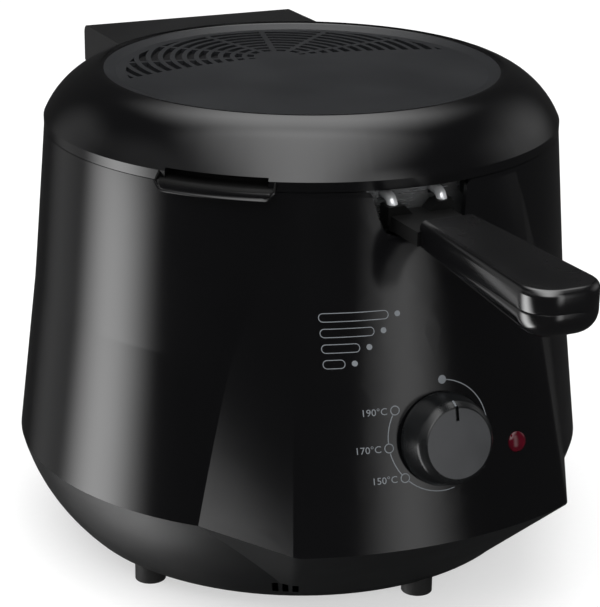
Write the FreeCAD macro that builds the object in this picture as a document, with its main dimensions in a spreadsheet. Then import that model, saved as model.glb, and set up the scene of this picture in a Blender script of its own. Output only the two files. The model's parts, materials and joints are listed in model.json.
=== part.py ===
import FreeCAD, Part
import math
import os
import Sketcher

# Driving dimensions of the fryer, in millimetres and degrees.
# The bowl's axis is the reference for every radius; heights are above the table.
SIZES = {
    "fit_gap": 0.3,
    "wall": 2.5,
    "bowl_radius": 107.0,
    "bowl_taper": 9.0,
    "bowl_depth": 125.5,
    "bowl_wall": 2.0,
    "bowl_floor": 3.0,
    "lip_rise": 0.5,
    "lip_height": 2.6,
    "lip_width": 3.3,
    "ring_height": 6.0,
    "shell_clearance": 10.6,
    "lid_seam_height": 195.0,
    "waist_flare": 6.3,
    "waist_height": 122.0,
    "base_flare": 15.2,
    "base_seam_height": 49.4,
    "panel_tilt": 13.5,
    "panel_merge": 0.4,
    "panel_arc_radius": 186.0,
    "panel_half_width": 65.0,
    "panel_flank_angle": 49.0,
    "panel_flank_sink": 3.0,
    "panel_top_half_width": 51.0,
    "panel_top_flank_angle": 45.0,
    "panel_top_flank_sink": 7.3,
    "panel_corner_round": 7.0,
    "notch_side_gap": 4.6,
    "notch_flare": 3.8,
    "notch_floor_gap": 1.4,
    "notch_round": 6.5,
    "notch_lip_round": 3.0,
    "tray_draw_in": 23.8,
    "tray_bottom_height": 7.4,
    "tray_arc_radius": 92.0,
    "tray_floor": 3.0,
    "tray_panel_half_width": 48.0,
    "tray_panel_flank_angle": 45.0,
    "tray_panel_flank_sink": 7.2,
    "vent_angle": 27.3,
    "vent_slot": 2.6,
    "vent_rib": 1.6,
    "vent_height": 7.0,
    "vent_rise": 4.1,
    "foot_radius": 7.0,
    "foot_inset": 6.0,
    "foot_turn": 7.0,
    "clamp_inset": 12.0,
    "clamp_thickness": 1.5,
    "clamp_bore": 13.0,
    "element_inset": 12.0,
    "element_radius": 4.0,
    "element_gap_angle": 60.0,
    "element_leg": 22.0,
    "stud_radius": 2.5,
    "stud_inset": 16.0,
    "nut_radius": 4.6,
    "nut_height": 3.6,
    "limiter_radius": 9.0,
    "limiter_height": 12.0,
    "knob_height": 92.8,
    "knob_radius": 20.0,
    "knob_face_radius": 15.0,
    "knob_depth": 14.5,
    "knob_skirt": 3.0,
    "knob_float": 0.6,
    "knob_crown": 3.5,
    "pointer_length": 8.0,
    "pointer_width": 2.4,
    "pointer_depth": 0.8,
    "shaft_radius": 3.0,
    "shaft_play": 0.05,
    "bush_radius": 4.6,
    "thermostat_side": 28.0,
    "thermostat_depth": 16.0,
    "bracket_width": 48.0,
    "bracket_height": 34.0,
    "bracket_sheet": 1.5,
    "bracket_gap": 0.75,
    "lamp_offset": 37.5,
    "lamp_height": 83.8,
    "lens_seat": 0.72,
    "lens_radius": 4.5,
    "lens_crown": 1.8,
    "lens_barrel": 9.0,
    "holder_radius": 6.5,
    "holder_overlap": 3.6,
    "holder_length": 12.0,
    "lamp_radius": 3.0,
    "gland_height": 29.0,
    "gland_radius": 6.5,
    "gland_bore": 3.4,
    "gland_length": 17.0,
    "gland_flange": 2.5,
    "terminal_width": 34.0,
    "terminal_depth": 16.0,
    "terminal_height": 14.0,
    "terminal_gap": 1.5,
    "hinge_offset": 12.4,
    "hinge_drop": 5.0,
    "hinge_side_gap": 1.0,
    "pin_radius": 3.0,
    "pin_play": 0.06,
    "hinge_nose": 7.0,
    "knuckle_half_width": 30.0,
    "lug_width": 17.0,
    "lug_depth": 26.0,
    "lug_drop": 14.0,
    "lug_screw_radius": 2.0,
    "lug_screw_length": 17.0,
    "lug_screw_reach": 6.4,
    "lug_screw_drop": 9.0,
    "seam_gap": 0.3,
    "lid_band": 4.5,
    "lid_arc_radius": 40.0,
    "lid_draw_in": 24.2,
    "lid_rise": 26.0,
    "rim_width": 1.5,
    "plate_recess": 4.2,
    "plate_ledge": 7.0,
    "ledge_thickness": 2.5,
    "bevel_width": 7.0,
    "bevel_drop": 2.3,
    "grille_focus": 27.0,
    "grille_edge_radius": 210.0,
    "grille_inset": 2.0,
    "grille_pitch": 5.6,
    "grille_slot": 3.2,
    "grille_rib": 2.6,
    "filter_gap": 4.4,
    "mesh_thickness": 1.0,
    "filter_thickness": 5.0,
    "liner_overhang": 6.6,
    "liner_thickness": 1.2,
    "liner_bore": 60.0,
    "liner_screw_gap": 3.6,
    "liner_screw_radius": 2.0,
    "cover_clearance": 1.5,
    "cover_side_gap": 5.5,
    "cover_drop": 5.0,
    "cover_lift": 2.6,
    "cover_round": 4.5,
    "cover_front": 60.0,
    "grip_angle": 42.5,
    "grip_spread": 22.0,
    "grip_side": 1.0,
    "grip_depth": 6.0,
    "grip_back": 1.0,
    "grip_floor": 1.0,
    "grip_rise": 5.6,
    "grip_ceiling": 1.5,
    "grip_reach": 3.4,
    "grip_lip": 2.4,
    "grip_lip_gap": 0.6,
    "basket_clearance": 8.0,
    "basket_taper": 8.0,
    "basket_wire": 2.0,
    "basket_floor_gap": 15.5,
    "basket_sheet": 1.0,
    "window_rib": 4.0,
    "window_sill": 2.0,
    "window_head": 10.0,
    "window_width": 14.0,
    "rod_radius": 2.3,
    "rod_offset": 11.5,
    "rod_headroom": 4.3,
    "rod_bend": 4.5,
    "rod_tail": 14.0,
    "rod_clear": 0.8,
    "rim_slot_gap": 0.6,
    "post_wall": 1.4,
    "post_rise": 3.8,
    "yoke_half_width": 14.0,
    "yoke_height": 6.0,
    "yoke_offset": 22.4,
    "tongue_half_width": 7.0,
    "tongue_height": 4.0,
    "tongue_length": 65.0,
    "handle_drop": 6.3,
    "handle_length": 94.0,
    "handle_root_half_width": 13.0,
    "handle_tip_half_width": 17.0,
    "handle_tip_radius": 22.0,
    "handle_upper_height": 6.7,
    "handle_lower_root": 5.0,
    "handle_lower_tip": 11.5,
    "handle_screw_radius": 1.8,
    "handle_screw_inset": 10.0,
    "handle_screw_pitch": 45.0,
}

FOOT_COUNT = 5
STUD_COUNT = 3
LINER_SCREW_COUNT = 4
WINDOW_COLUMNS = 30
WINDOW_ROWS = 3
GRILLE_SECTORS = 7
GRILLE_FIRST_ROW = 2
GRILLE_START = -20.0
GRILLE_SPAN = 220.0
VENT_COUNT = 3

X_AXIS = FreeCAD.Vector(1, 0, 0)
Z_AXIS = FreeCAD.Vector(0, 0, 1)

doc = FreeCAD.newDocument("deep_fryer")
sheet = doc.addObject("Spreadsheet::Sheet", "Sizes")
for row, (name, value) in enumerate(SIZES.items(), start=1):
    sheet.set(f"A{row}", name)
    sheet.set(f"B{row}", str(value))
    sheet.setAlias(f"B{row}", name)
doc.recompute()


class Size:
    """A value worked out from the sheet, kept with the expression that gives it."""

    def __init__(self, value, text):
        self.value = value
        self.text = text

    def __float__(self):
        return self.value

    def __add__(self, other):
        other = as_size(other)
        return Size(self.value + other.value, f"({self.text} + {other.text})")

    def __sub__(self, other):
        other = as_size(other)
        return Size(self.value - other.value, f"({self.text} - {other.text})")

    def __mul__(self, other):
        other = as_size(other)
        return Size(self.value * other.value, f"({self.text} * {other.text})")

    def __truediv__(self, other):
        other = as_size(other)
        return Size(self.value / other.value, f"({self.text} / {other.text})")

    def __neg__(self):
        return Size(-self.value, f"(0 - {self.text})")

    def __radd__(self, other):
        return as_size(other) + self

    def __rsub__(self, other):
        return as_size(other) - self

    def __rmul__(self, other):
        return as_size(other) * self


def as_size(value):
    """A plain number as a Size, or the Size itself."""
    if isinstance(value, Size):
        return value
    return Size(float(value), str(float(value)))


def root(size):
    """Square root of a Size."""
    return Size(math.sqrt(size.value), f"sqrt({size.text})")


def tangent(angle):
    """Tangent of a Size in degrees."""
    return Size(math.tan(math.radians(angle.value)), f"tan({angle.text})")


def sine(angle):
    """Sine of a Size in degrees."""
    return Size(math.sin(math.radians(angle.value)), f"sin({angle.text})")


def cosine(angle):
    """Cosine of a Size in degrees."""
    return Size(math.cos(math.radians(angle.value)), f"cos({angle.text})")


class Dimensions:
    """Every cell of the sheet by its alias."""

    def __init__(self):
        for alias in SIZES:
            setattr(self, alias, Size(float(sheet.get(alias)), f"Sizes.{alias}"))


dim = Dimensions()

# Places worked out from the driving dimensions.
lid_seam_radius = dim.bowl_radius + dim.shell_clearance
waist_radius = lid_seam_radius + dim.waist_flare
base_seam_radius = lid_seam_radius + dim.base_flare
tray_bottom_radius = base_seam_radius - dim.tray_draw_in
rim_radius = lid_seam_radius - dim.lid_draw_in
hinge_reach = lid_seam_radius + dim.hinge_offset
rear_reach = hinge_reach + dim.hinge_nose + dim.cover_clearance + dim.wall
yoke_root = lid_seam_radius + dim.yoke_offset
handle_reach = yoke_root + dim.handle_length
axis_y = (handle_reach - rear_reach) / 2
panel_slope = tangent(dim.panel_tilt)
panel_turn = 90 - dim.panel_tilt


def panel_reach(height):
    """Distance from the bowl's axis to the middle of the control panel at a height."""
    return lid_seam_radius + (dim.lid_seam_height - height) * panel_slope


def panel_sag(offset):
    """How far the panel's arc falls back at a distance from its middle."""
    return offset * offset / (2 * dim.panel_arc_radius)


lip_top = dim.lid_seam_height + dim.lip_rise
lip_under = lip_top - dim.lip_height
lip_radius = dim.bowl_radius + dim.lip_width
bowl_bottom = lip_top - dim.bowl_depth
bowl_base_radius = dim.bowl_radius - dim.bowl_taper
tray_floor_top = dim.tray_bottom_height + dim.tray_floor
clamp_radius = bowl_base_radius - dim.clamp_inset
element_circle = clamp_radius - dim.element_inset
stud_circle = element_circle - dim.stud_inset
element_height = bowl_bottom - dim.fit_gap - dim.element_radius
clamp_top = element_height - dim.element_radius - dim.fit_gap
clamp_bottom = clamp_top - dim.clamp_thickness
terminal_offset = stud_circle + dim.stud_radius + dim.terminal_gap
bracket_setback = dim.wall + panel_sag(dim.bracket_width / 2) + dim.bracket_gap
lamp_setback = panel_sag(dim.lamp_offset) + dim.lens_seat
hinge_height = dim.lid_seam_height - dim.hinge_drop
lug_inner = dim.knuckle_half_width + dim.hinge_side_gap
lug_outer = lug_inner + dim.lug_width
lid_bottom = dim.lid_seam_height + dim.seam_gap
band_top = dim.lid_seam_height + dim.lid_band
rim_height = dim.lid_seam_height + dim.lid_rise
ledge_top = rim_height - dim.plate_recess
ledge_bottom = ledge_top - dim.ledge_thickness
ledge_radius = rim_radius - dim.plate_ledge
plate_radius = rim_radius - dim.rim_width - dim.fit_gap
filter_radius = ledge_radius - dim.filter_gap
filter_top = ledge_top - dim.mesh_thickness
filter_bottom = filter_top - dim.filter_thickness
liner_top = filter_bottom
grille_radius = filter_radius - dim.grille_inset
grip_floor_top = lid_bottom + dim.grip_floor
grip_top = lid_bottom + dim.grip_rise
grip_inner = lid_seam_radius - dim.grip_depth
cover_half_width = lug_outer + dim.cover_side_gap + dim.wall
cover_top = rim_height - dim.cover_drop
cover_bottom = dim.lid_seam_height + dim.cover_lift
basket_radius = dim.bowl_radius - dim.bowl_wall - dim.basket_clearance
basket_base_radius = basket_radius - dim.basket_taper
rod_top = dim.lid_seam_height - dim.rod_headroom
rod_outer = lip_radius + dim.rod_clear + dim.rod_radius
basket_rim_height = rod_top - dim.rod_radius - dim.fit_gap - dim.basket_wire
basket_top = basket_rim_height - dim.basket_wire
basket_bottom = bowl_bottom + dim.bowl_floor + dim.basket_floor_gap
rod_reach = basket_radius - dim.basket_wire - 2 * dim.fit_gap
rod_side = dim.rod_offset + dim.rod_radius
rod_inner = root(rod_reach * rod_reach - rod_side * rod_side) - dim.rod_radius
handle_top = dim.lid_seam_height - dim.handle_drop
handle_split = handle_top - dim.handle_upper_height
yoke_low = handle_split + dim.tongue_height / 2 - dim.yoke_height
yoke_top = yoke_low + dim.yoke_height
rod_entry = yoke_low + dim.yoke_height / 2
post_reach = dim.rod_radius + dim.post_wall
notch_bottom = yoke_low - dim.notch_floor_gap
notch_bottom_half = dim.yoke_half_width + dim.notch_side_gap
notch_top_half = notch_bottom_half + dim.notch_flare
spare = 5.0

pieces = []


def bind(obj, path, size):
    """Tie one property of an object to its expression."""
    obj.setExpression(path, as_size(size).text)


def place(obj, x, y, z, turn=None, axis=X_AXIS):
    """Put an object at a place measured from the bowl's axis, turned where a turn is given."""
    if turn is not None:
        obj.Placement = FreeCAD.Placement(FreeCAD.Vector(), FreeCAD.Rotation(axis, float(turn)))
        bind(obj, "Placement.Rotation.Angle", turn)
    bind(obj, "Placement.Base.x", x)
    bind(obj, "Placement.Base.y", y + axis_y)
    bind(obj, "Placement.Base.z", z)


def on_panel(obj, x, height, setback=0.0):
    """Put an object on the control panel, its own Z axis along the panel's normal."""
    place(obj, x, setback - panel_reach(height), height, panel_turn)


def keep(obj, label):
    """Mark an object as a finished sub-part of the fryer."""
    obj.Label = label
    pieces.append(obj)
    return obj


def arc_geometry(start, end, radius, side):
    """Arc of a circle between two points, its centre to the left or the right of the way."""
    chord = end - start
    half = chord.Length / 2
    across = FreeCAD.Vector(-chord.y, chord.x, 0).normalize()
    reach = math.sqrt(radius * radius - half * half)
    centre = (start + end) * 0.5 + across * (reach if side == "left" else -reach)
    first, last = (start, end) if side == "left" else (end, start)
    begin = math.atan2(first.y - centre.y, first.x - centre.x)
    finish = math.atan2(last.y - centre.y, last.x - centre.x)
    return Part.ArcOfCircle(Part.Circle(centre, Z_AXIS, radius), begin, finish)


def tie_point(sketch, edge, vertex, u, v):
    """Tie a vertex of a sketch to its two coordinates."""
    for kind, axis, size in (("DistanceX", -2, as_size(u)), ("DistanceY", -1, as_size(v))):
        if size.value == 0:
            sketch.addConstraint(Sketcher.Constraint("PointOnObject", edge, vertex, axis))
            continue
        if size.value > 0:
            constraint = Sketcher.Constraint(kind, -1, 1, edge, vertex, size.value)
            text = size.text
        else:
            constraint = Sketcher.Constraint(kind, edge, vertex, -1, 1, -size.value)
            text = (-size).text
        number = sketch.addConstraint(constraint)
        sketch.setExpression(f"Constraints[{number}]", text)


def outline_sketch(body, name, plane, outline, offset=0.0):
    """Closed outline on an origin plane; a point with a radius is reached by an arc."""
    sketch = body.newObject("Sketcher::SketchObject", name)
    support = [part for part in body.Origin.OriginFeatures if part.Role == plane][0]
    sketch.AttachmentSupport = (support, [""])
    sketch.MapMode = "FlatFace"
    bind(sketch, "AttachmentOffset.Base.z", offset)
    corners = [FreeCAD.Vector(float(point[0]), float(point[1]), 0) for point in outline]
    ends = []
    for number, point in enumerate(outline):
        start, end = corners[number - 1], corners[number]
        if len(point) == 2:
            edge = sketch.addGeometry(Part.LineSegment(start, end))
            ends.append((edge, 1, 2))
            continue
        radius, side = as_size(point[2]), point[3]
        edge = sketch.addGeometry(arc_geometry(start, end, radius.value, side))
        ends.append((edge, 1, 2) if side == "left" else (edge, 2, 1))
        fixed = sketch.addConstraint(Sketcher.Constraint("Radius", edge, radius.value))
        sketch.setExpression(f"Constraints[{fixed}]", radius.text)
    for number, point in enumerate(outline):
        edge, _, last = ends[number]
        following, first, _ = ends[(number + 1) % len(outline)]
        sketch.addConstraint(Sketcher.Constraint("Coincident", edge, last, following, first))
        tie_point(sketch, edge, last, point[0], point[1])
    return sketch


def new_body(name):
    """A body that stands on the bowl's axis."""
    body = doc.addObject("PartDesign::Body", name)
    place(body, 0.0, as_size(0.0), 0.0)
    return body


def revolved(name, outline):
    """A body turned about its own Z axis from an outline of radii and heights."""
    body = new_body(name)
    sketch = outline_sketch(body, f"{name}_profile", "XZ_Plane", outline)
    turn = body.newObject("PartDesign::Revolution", f"{name}_turn")
    turn.Profile = sketch
    turn.ReferenceAxis = (sketch, ["V_Axis"])
    turn.Angle = 360
    return body


def padded(name, plane, outline, offset, length):
    """A body padded from an outline that lies at an offset from an origin plane."""
    body = new_body(name)
    sketch = outline_sketch(body, f"{name}_outline", plane, outline, offset)
    pad = body.newObject("PartDesign::Pad", f"{name}_pad")
    pad.Profile = sketch
    bind(pad, "Length", length)
    return body


def lofted(name, sections):
    """A body ruled between level outlines, given as pairs of a height and an outline."""
    body = new_body(name)
    sketches = []
    for number, (height, outline) in enumerate(sections):
        sketches.append(outline_sketch(body, f"{name}_level_{number}", "XY_Plane", outline, height))
    loft = body.newObject("PartDesign::AdditiveLoft", f"{name}_loft")
    loft.Profile = sketches[0]
    loft.Sections = sketches[1:]
    loft.Ruled = True
    return body


def box_outline(low_u, low_v, high_u, high_v):
    """Rectangle between two corners."""
    return [(low_u, low_v), (high_u, low_v), (high_u, high_v), (low_u, high_v)]


def tube_outline(inner, outer, low, high):
    """Section of a ring between two radii and two heights."""
    return box_outline(inner, low, outer, high)


def cylinder(name, radius, height, x, y, z, turn=None):
    """A round bar that starts at a point and runs along its own Z axis."""
    bar = doc.addObject("Part::Cylinder", name)
    bind(bar, "Radius", radius)
    bind(bar, "Height", height)
    place(bar, x, as_size(y), z, turn)
    return bar


def hexagon(name, radius, height, x, y, z):
    """A hexagon nut blank."""
    nut = doc.addObject("Part::Prism", name)
    nut.Polygon = 6
    bind(nut, "Circumradius", radius)
    bind(nut, "Height", height)
    place(nut, x, as_size(y), z)
    return nut


def cut(name, base, tool):
    """One object less another."""
    result = doc.addObject("Part::Cut", name)
    result.Base = base
    result.Tool = tool
    return result


def fused(name, parts):
    """Several objects as one solid."""
    result = doc.addObject("Part::MultiFuse", name)
    result.Shapes = parts
    return result


def grouped(name, parts):
    """Several like pieces kept as separate solids."""
    result = doc.addObject("Part::Compound", name)
    result.Links = parts
    return result


def round_spots(count, circle, start):
    """Evenly spaced places on a circle about the bowl's axis, from a start angle in degrees."""
    spots = []
    for number in range(count):
        angle = as_size(start) + 360.0 / count * number
        spots.append((circle * cosine(angle), circle * sine(angle)))
    return spots


def panel_section(reach, arc_radius, half_width, flank, inset):
    """Level section of the front bulge: two flanks, rounded corners and a wide front arc."""
    flank_radius, flank_angle = flank
    flank_x = flank_radius * sine(flank_angle)
    flank_y = flank_radius * cosine(flank_angle)
    round_radius = dim.panel_corner_round - inset
    arc = arc_radius - inset
    half = half_width - inset
    corner = reach - inset - arc + root(arc * arc - half * half)
    run_x = flank_x - half_width
    run_y = corner - flank_y
    run = root(run_x * run_x + run_y * run_y)
    along_x = root(arc * arc - half * half) / arc
    along_y = half / arc
    straight = (along_x * run_x + along_y * run_y) / run
    bend = (along_x * run_y - along_y * run_x) / run
    trim = round_radius * bend / (1 + straight)
    share = trim / run
    side_x = half + run_x * share
    side_y = corner - run_y * share
    front_half = half - trim * along_x
    front = reach - inset - arc + root(arc * arc - front_half * front_half)
    return [
        (-(flank_x - inset), -flank_y),
        (flank_x - inset, -flank_y),
        (side_x, -side_y),
        (front_half, -front, round_radius, "right"),
        (-front_half, -front, arc, "right"),
        (-side_x, -side_y, round_radius, "right"),
    ]


def seam_section(inset):
    """Section of the front bulge at the seam between shell and tray."""
    flank = (base_seam_radius - dim.panel_flank_sink, dim.panel_flank_angle)
    return panel_section(panel_reach(dim.base_seam_height), dim.panel_arc_radius, dim.panel_half_width,
                         flank, inset)


def shell_solid(name, inset):
    """The space inside the outer or the inner face of the shell."""
    seam_radius = base_seam_radius - inset
    top_radius = lid_seam_radius - inset
    turned = revolved(f"{name}_round", [
        (0.0, dim.base_seam_height),
        (seam_radius, dim.base_seam_height),
        (waist_radius - inset, dim.waist_height),
        (top_radius, dim.lid_seam_height),
        (0.0, dim.lid_seam_height),
    ])
    flank = (lid_seam_radius - dim.panel_top_flank_sink, dim.panel_top_flank_angle)
    top = panel_section(lid_seam_radius - dim.panel_merge, lid_seam_radius, dim.panel_top_half_width,
                        flank, inset)
    bulge = lofted(f"{name}_bulge", [(dim.base_seam_height, seam_section(inset)),
                                     (dim.lid_seam_height, top)])
    return fused(f"{name}_solid", [turned, bulge])


def tray_solid(name, inset, floor):
    """The space inside the outer or the inner face of the base tray."""
    low = dim.tray_bottom_height + floor
    turned = revolved(f"{name}_round", [
        (0.0, low),
        (tray_bottom_radius - inset, low),
        (base_seam_radius - inset, dim.base_seam_height, dim.tray_arc_radius, "left"),
        (0.0, dim.base_seam_height),
    ])
    flank = (tray_bottom_radius - dim.tray_panel_flank_sink, dim.tray_panel_flank_angle)
    bottom = panel_section(tray_bottom_radius - dim.panel_merge, tray_bottom_radius,
                           dim.tray_panel_half_width, flank, inset)
    bulge = lofted(f"{name}_bulge", [(low, bottom), (dim.base_seam_height, seam_section(inset))])
    return fused(f"{name}_solid", [turned, bulge])


def notch_cutter():
    """A rounded wedge that opens the front wall from the top edge down."""
    rise = dim.lid_seam_height - notch_bottom
    length = root(rise * rise + dim.notch_flare * dim.notch_flare)
    lean = dim.notch_flare / length
    climb = rise / length
    half_turn = climb / (1 + lean)
    low_trim = dim.notch_round * half_turn
    top_trim = dim.notch_lip_round * half_turn
    low_u = notch_bottom_half - low_trim
    side_u = notch_bottom_half + low_trim * lean
    side_v = notch_bottom + low_trim * climb
    edge_u = notch_top_half - top_trim * lean
    edge_v = dim.lid_seam_height - top_trim * climb
    mouth_u = notch_top_half + top_trim
    above = dim.lid_seam_height + spare
    outline = [
        (-low_u, notch_bottom),
        (low_u, notch_bottom),
        (side_u, side_v, dim.notch_round, "left"),
        (edge_u, edge_v),
        (mouth_u, dim.lid_seam_height, dim.notch_lip_round, "right"),
        (mouth_u, above),
        (-mouth_u, above),
        (-mouth_u, dim.lid_seam_height),
        (-edge_u, edge_v, dim.notch_lip_round, "right"),
        (-side_u, side_v),
        (-low_u, notch_bottom, dim.notch_round, "left"),
    ]
    return padded("shell_notch", "XZ_Plane", outline[1:],
                  dim.bowl_radius, panel_reach(notch_bottom) + spare - dim.bowl_radius)


def front_cutter(name, middle, half_width, low, high, outer):
    """A box that cuts a gap in the front of a ring about the bowl's axis."""
    return padded(name, "XZ_Plane", box_outline(middle - half_width, low, middle + half_width, high),
                  bowl_base_radius, outer - bowl_base_radius)


def lug_screw_spots():
    """Places of the screws that hold the hinge lugs, as pairs of x and height."""
    middle = (lug_inner + lug_outer) / 2
    height = hinge_height - dim.lug_screw_drop
    return [(-middle, height), (middle, height)]


def vent_slots():
    """Short upright air slots low in the front of the tray."""
    reach = float(base_seam_radius)
    turn = math.degrees(1 / float(tray_bottom_radius))
    pitch = float(dim.vent_slot + dim.vent_rib) * turn
    half = float(dim.vent_slot) * turn / 2
    low = float(dim.tray_bottom_height + dim.vent_rise)
    first = -90.0 - float(dim.vent_angle) - pitch * (VENT_COUNT - 1) / 2
    slots = []
    for number in range(VENT_COUNT):
        middle = first + pitch * number
        slots.append(ring_sector(reach / 2, reach, middle - half, middle + half, low,
                                 low + float(dim.vent_height)))
    tool = doc.addObject("Part::Feature", "vent_slots")
    tool.Shape = Part.makeCompound(slots)
    tool.Placement = FreeCAD.Placement(FreeCAD.Vector(0, float(axis_y), 0), FreeCAD.Rotation())
    return tool


def make_housing():
    """Shell, base tray and feet."""
    outside = shell_solid("shell_outside", as_size(0.0))
    walls = cut("shell_walls", outside, shell_solid("shell_inside", dim.wall))
    notch = notch_cutter()
    bush_hole = cylinder("bush_hole", dim.bush_radius + dim.fit_gap, 4 * dim.wall, 0.0, 0.0, 0.0)
    on_panel_from(bush_hole, 0.0, dim.knob_height, as_size(0.0), 2 * dim.wall)
    lens_hole = cylinder("lens_hole", dim.lens_radius, 4 * dim.wall, 0.0, 0.0, 0.0)
    on_panel_from(lens_hole, dim.lamp_offset, dim.lamp_height, lamp_setback, 2 * dim.wall)
    screws = [lug_screw(f"lug_screw_{number}", x, height)
              for number, (x, height) in enumerate(lug_screw_spots())]
    keep(grouped("lug_screws", screws), "lug_screws")
    openings = grouped("shell_openings", [notch, bush_hole, lens_hole] + screws)
    keep(cut("outer_shell", walls, openings), "outer_shell")

    tray_outside = tray_solid("tray_outside", as_size(0.0), as_size(0.0))
    bowl_shape = cut("tray_walls", tray_outside, tray_solid("tray_inside", dim.wall, dim.tray_floor))
    gland_y = base_seam_radius - dim.gland_length
    gland_hole = cylinder("gland_hole", dim.gland_radius, 2 * dim.gland_length, 0.0,
                          gland_y + 2 * dim.gland_length, dim.gland_height, as_size(90.0))
    studs = [cylinder(f"stud_hole_{number}", dim.stud_radius, dim.tray_floor, x, y, dim.tray_bottom_height)
             for number, (x, y) in enumerate(round_spots(STUD_COUNT, stud_circle, 90.0))]
    holes = grouped("tray_openings", [gland_hole, vent_slots()] + studs)
    keep(cut("base_tray", bowl_shape, holes), "base_tray")

    foot_circle = tray_bottom_radius - dim.foot_inset
    blanks = []
    for number, (x, y) in enumerate(round_spots(FOOT_COUNT, foot_circle, dim.foot_turn - 90)):
        blanks.append(cylinder(f"foot_{number}", dim.foot_radius, dim.base_seam_height, x, y, 0.0))
    keep(cut("feet", grouped("foot_blanks", blanks), tray_outside), "feet")
    return outside


def on_panel_from(obj, x, height, setback, depth):
    """Start an object at a depth behind the panel, running out along the panel's normal."""
    behind = as_size(depth)
    place(obj, x, setback - panel_reach(height) + behind * cosine(dim.panel_tilt),
          height - behind * sine(dim.panel_tilt), panel_turn)


def lug_screw(name, x, height):
    """Screw from inside the shell into a hinge lug."""
    tip = lid_seam_radius + dim.lug_screw_reach
    return cylinder(name, dim.lug_screw_radius, dim.lug_screw_length, x, tip, height, as_size(90.0))


def make_bowl():
    """Oil bowl, its support ring and the heater below it."""
    bowl = revolved("bowl_blank", [
        (0.0, bowl_bottom),
        (bowl_base_radius, bowl_bottom),
        (dim.bowl_radius, lip_under),
        (lip_radius, lip_under),
        (lip_radius, lip_top),
        (dim.bowl_radius - dim.bowl_wall, lip_top),
        (bowl_base_radius - dim.bowl_wall, bowl_bottom + dim.bowl_floor),
        (0.0, bowl_bottom + dim.bowl_floor),
    ])
    slot_low = rod_top - dim.rod_radius - dim.fit_gap
    slots = [front_cutter(f"rim_slot_{number}", middle, dim.rod_radius + dim.rim_slot_gap, slot_low,
                          lip_top + spare, lip_radius + spare)
             for number, middle in enumerate((-dim.rod_offset, dim.rod_offset))]
    keep(cut("oil_bowl", bowl, grouped("rim_slots", slots)), "oil_bowl")
    ring = revolved("rim_ring_blank", tube_outline(
        dim.bowl_radius + dim.fit_gap, lid_seam_radius - dim.wall - dim.fit_gap,
        lip_under - dim.ring_height, lip_under))
    gap = front_cutter("rim_ring_gap", as_size(0.0), notch_top_half + dim.wall,
                       lip_under - dim.ring_height - spare, lip_top + spare, lid_seam_radius + spare)
    keep(cut("rim_ring", ring, gap), "rim_ring")

    spots = round_spots(STUD_COUNT, stud_circle, 90.0)
    stud_low = dim.tray_bottom_height - dim.nut_height
    studs = [cylinder(f"stud_{number}", dim.stud_radius, bowl_bottom - stud_low, x, y, stud_low)
             for number, (x, y) in enumerate(spots)]
    stud_group = keep(grouped("tie_studs", studs), "tie_studs")
    for label, height in (("base_nuts", stud_low), ("clamp_nuts", clamp_bottom - dim.nut_height)):
        nuts = [hexagon(f"{label}_{number}", dim.nut_radius, dim.nut_height, x, y, height)
                for number, (x, y) in enumerate(spots)]
        keep(cut(label, grouped(f"{label}_blanks", nuts), stud_group), label)

    loop = doc.addObject("Part::Torus", "element_loop")
    bind(loop, "Radius1", element_circle)
    bind(loop, "Radius2", dim.element_radius)
    bind(loop, "Angle3", 360 - dim.element_gap_angle)
    place(loop, 0.0, as_size(0.0), element_height, dim.element_gap_angle / 2 - 90, Z_AXIS)
    leg_x = element_circle * sine(dim.element_gap_angle / 2)
    leg_y = -(element_circle * cosine(dim.element_gap_angle / 2))
    legs = [cylinder(f"element_leg_{number}", dim.element_radius, dim.element_leg, x, leg_y,
                     element_height - dim.element_leg) for number, x in enumerate((-leg_x, leg_x))]
    element = keep(fused("heating_element", [loop] + legs), "heating_element")
    sheet_disc = revolved("heater_clamp_blank", tube_outline(dim.clamp_bore, clamp_radius,
                                                             clamp_bottom, clamp_top))
    keep(cut("heater_clamp", sheet_disc, grouped("clamp_holes", studs + [element])), "heater_clamp")
    keep(cylinder("limit_thermostat", dim.limiter_radius, dim.limiter_height, 0.0, 0.0,
                  bowl_bottom - dim.limiter_height), "limit_thermostat")


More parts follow.
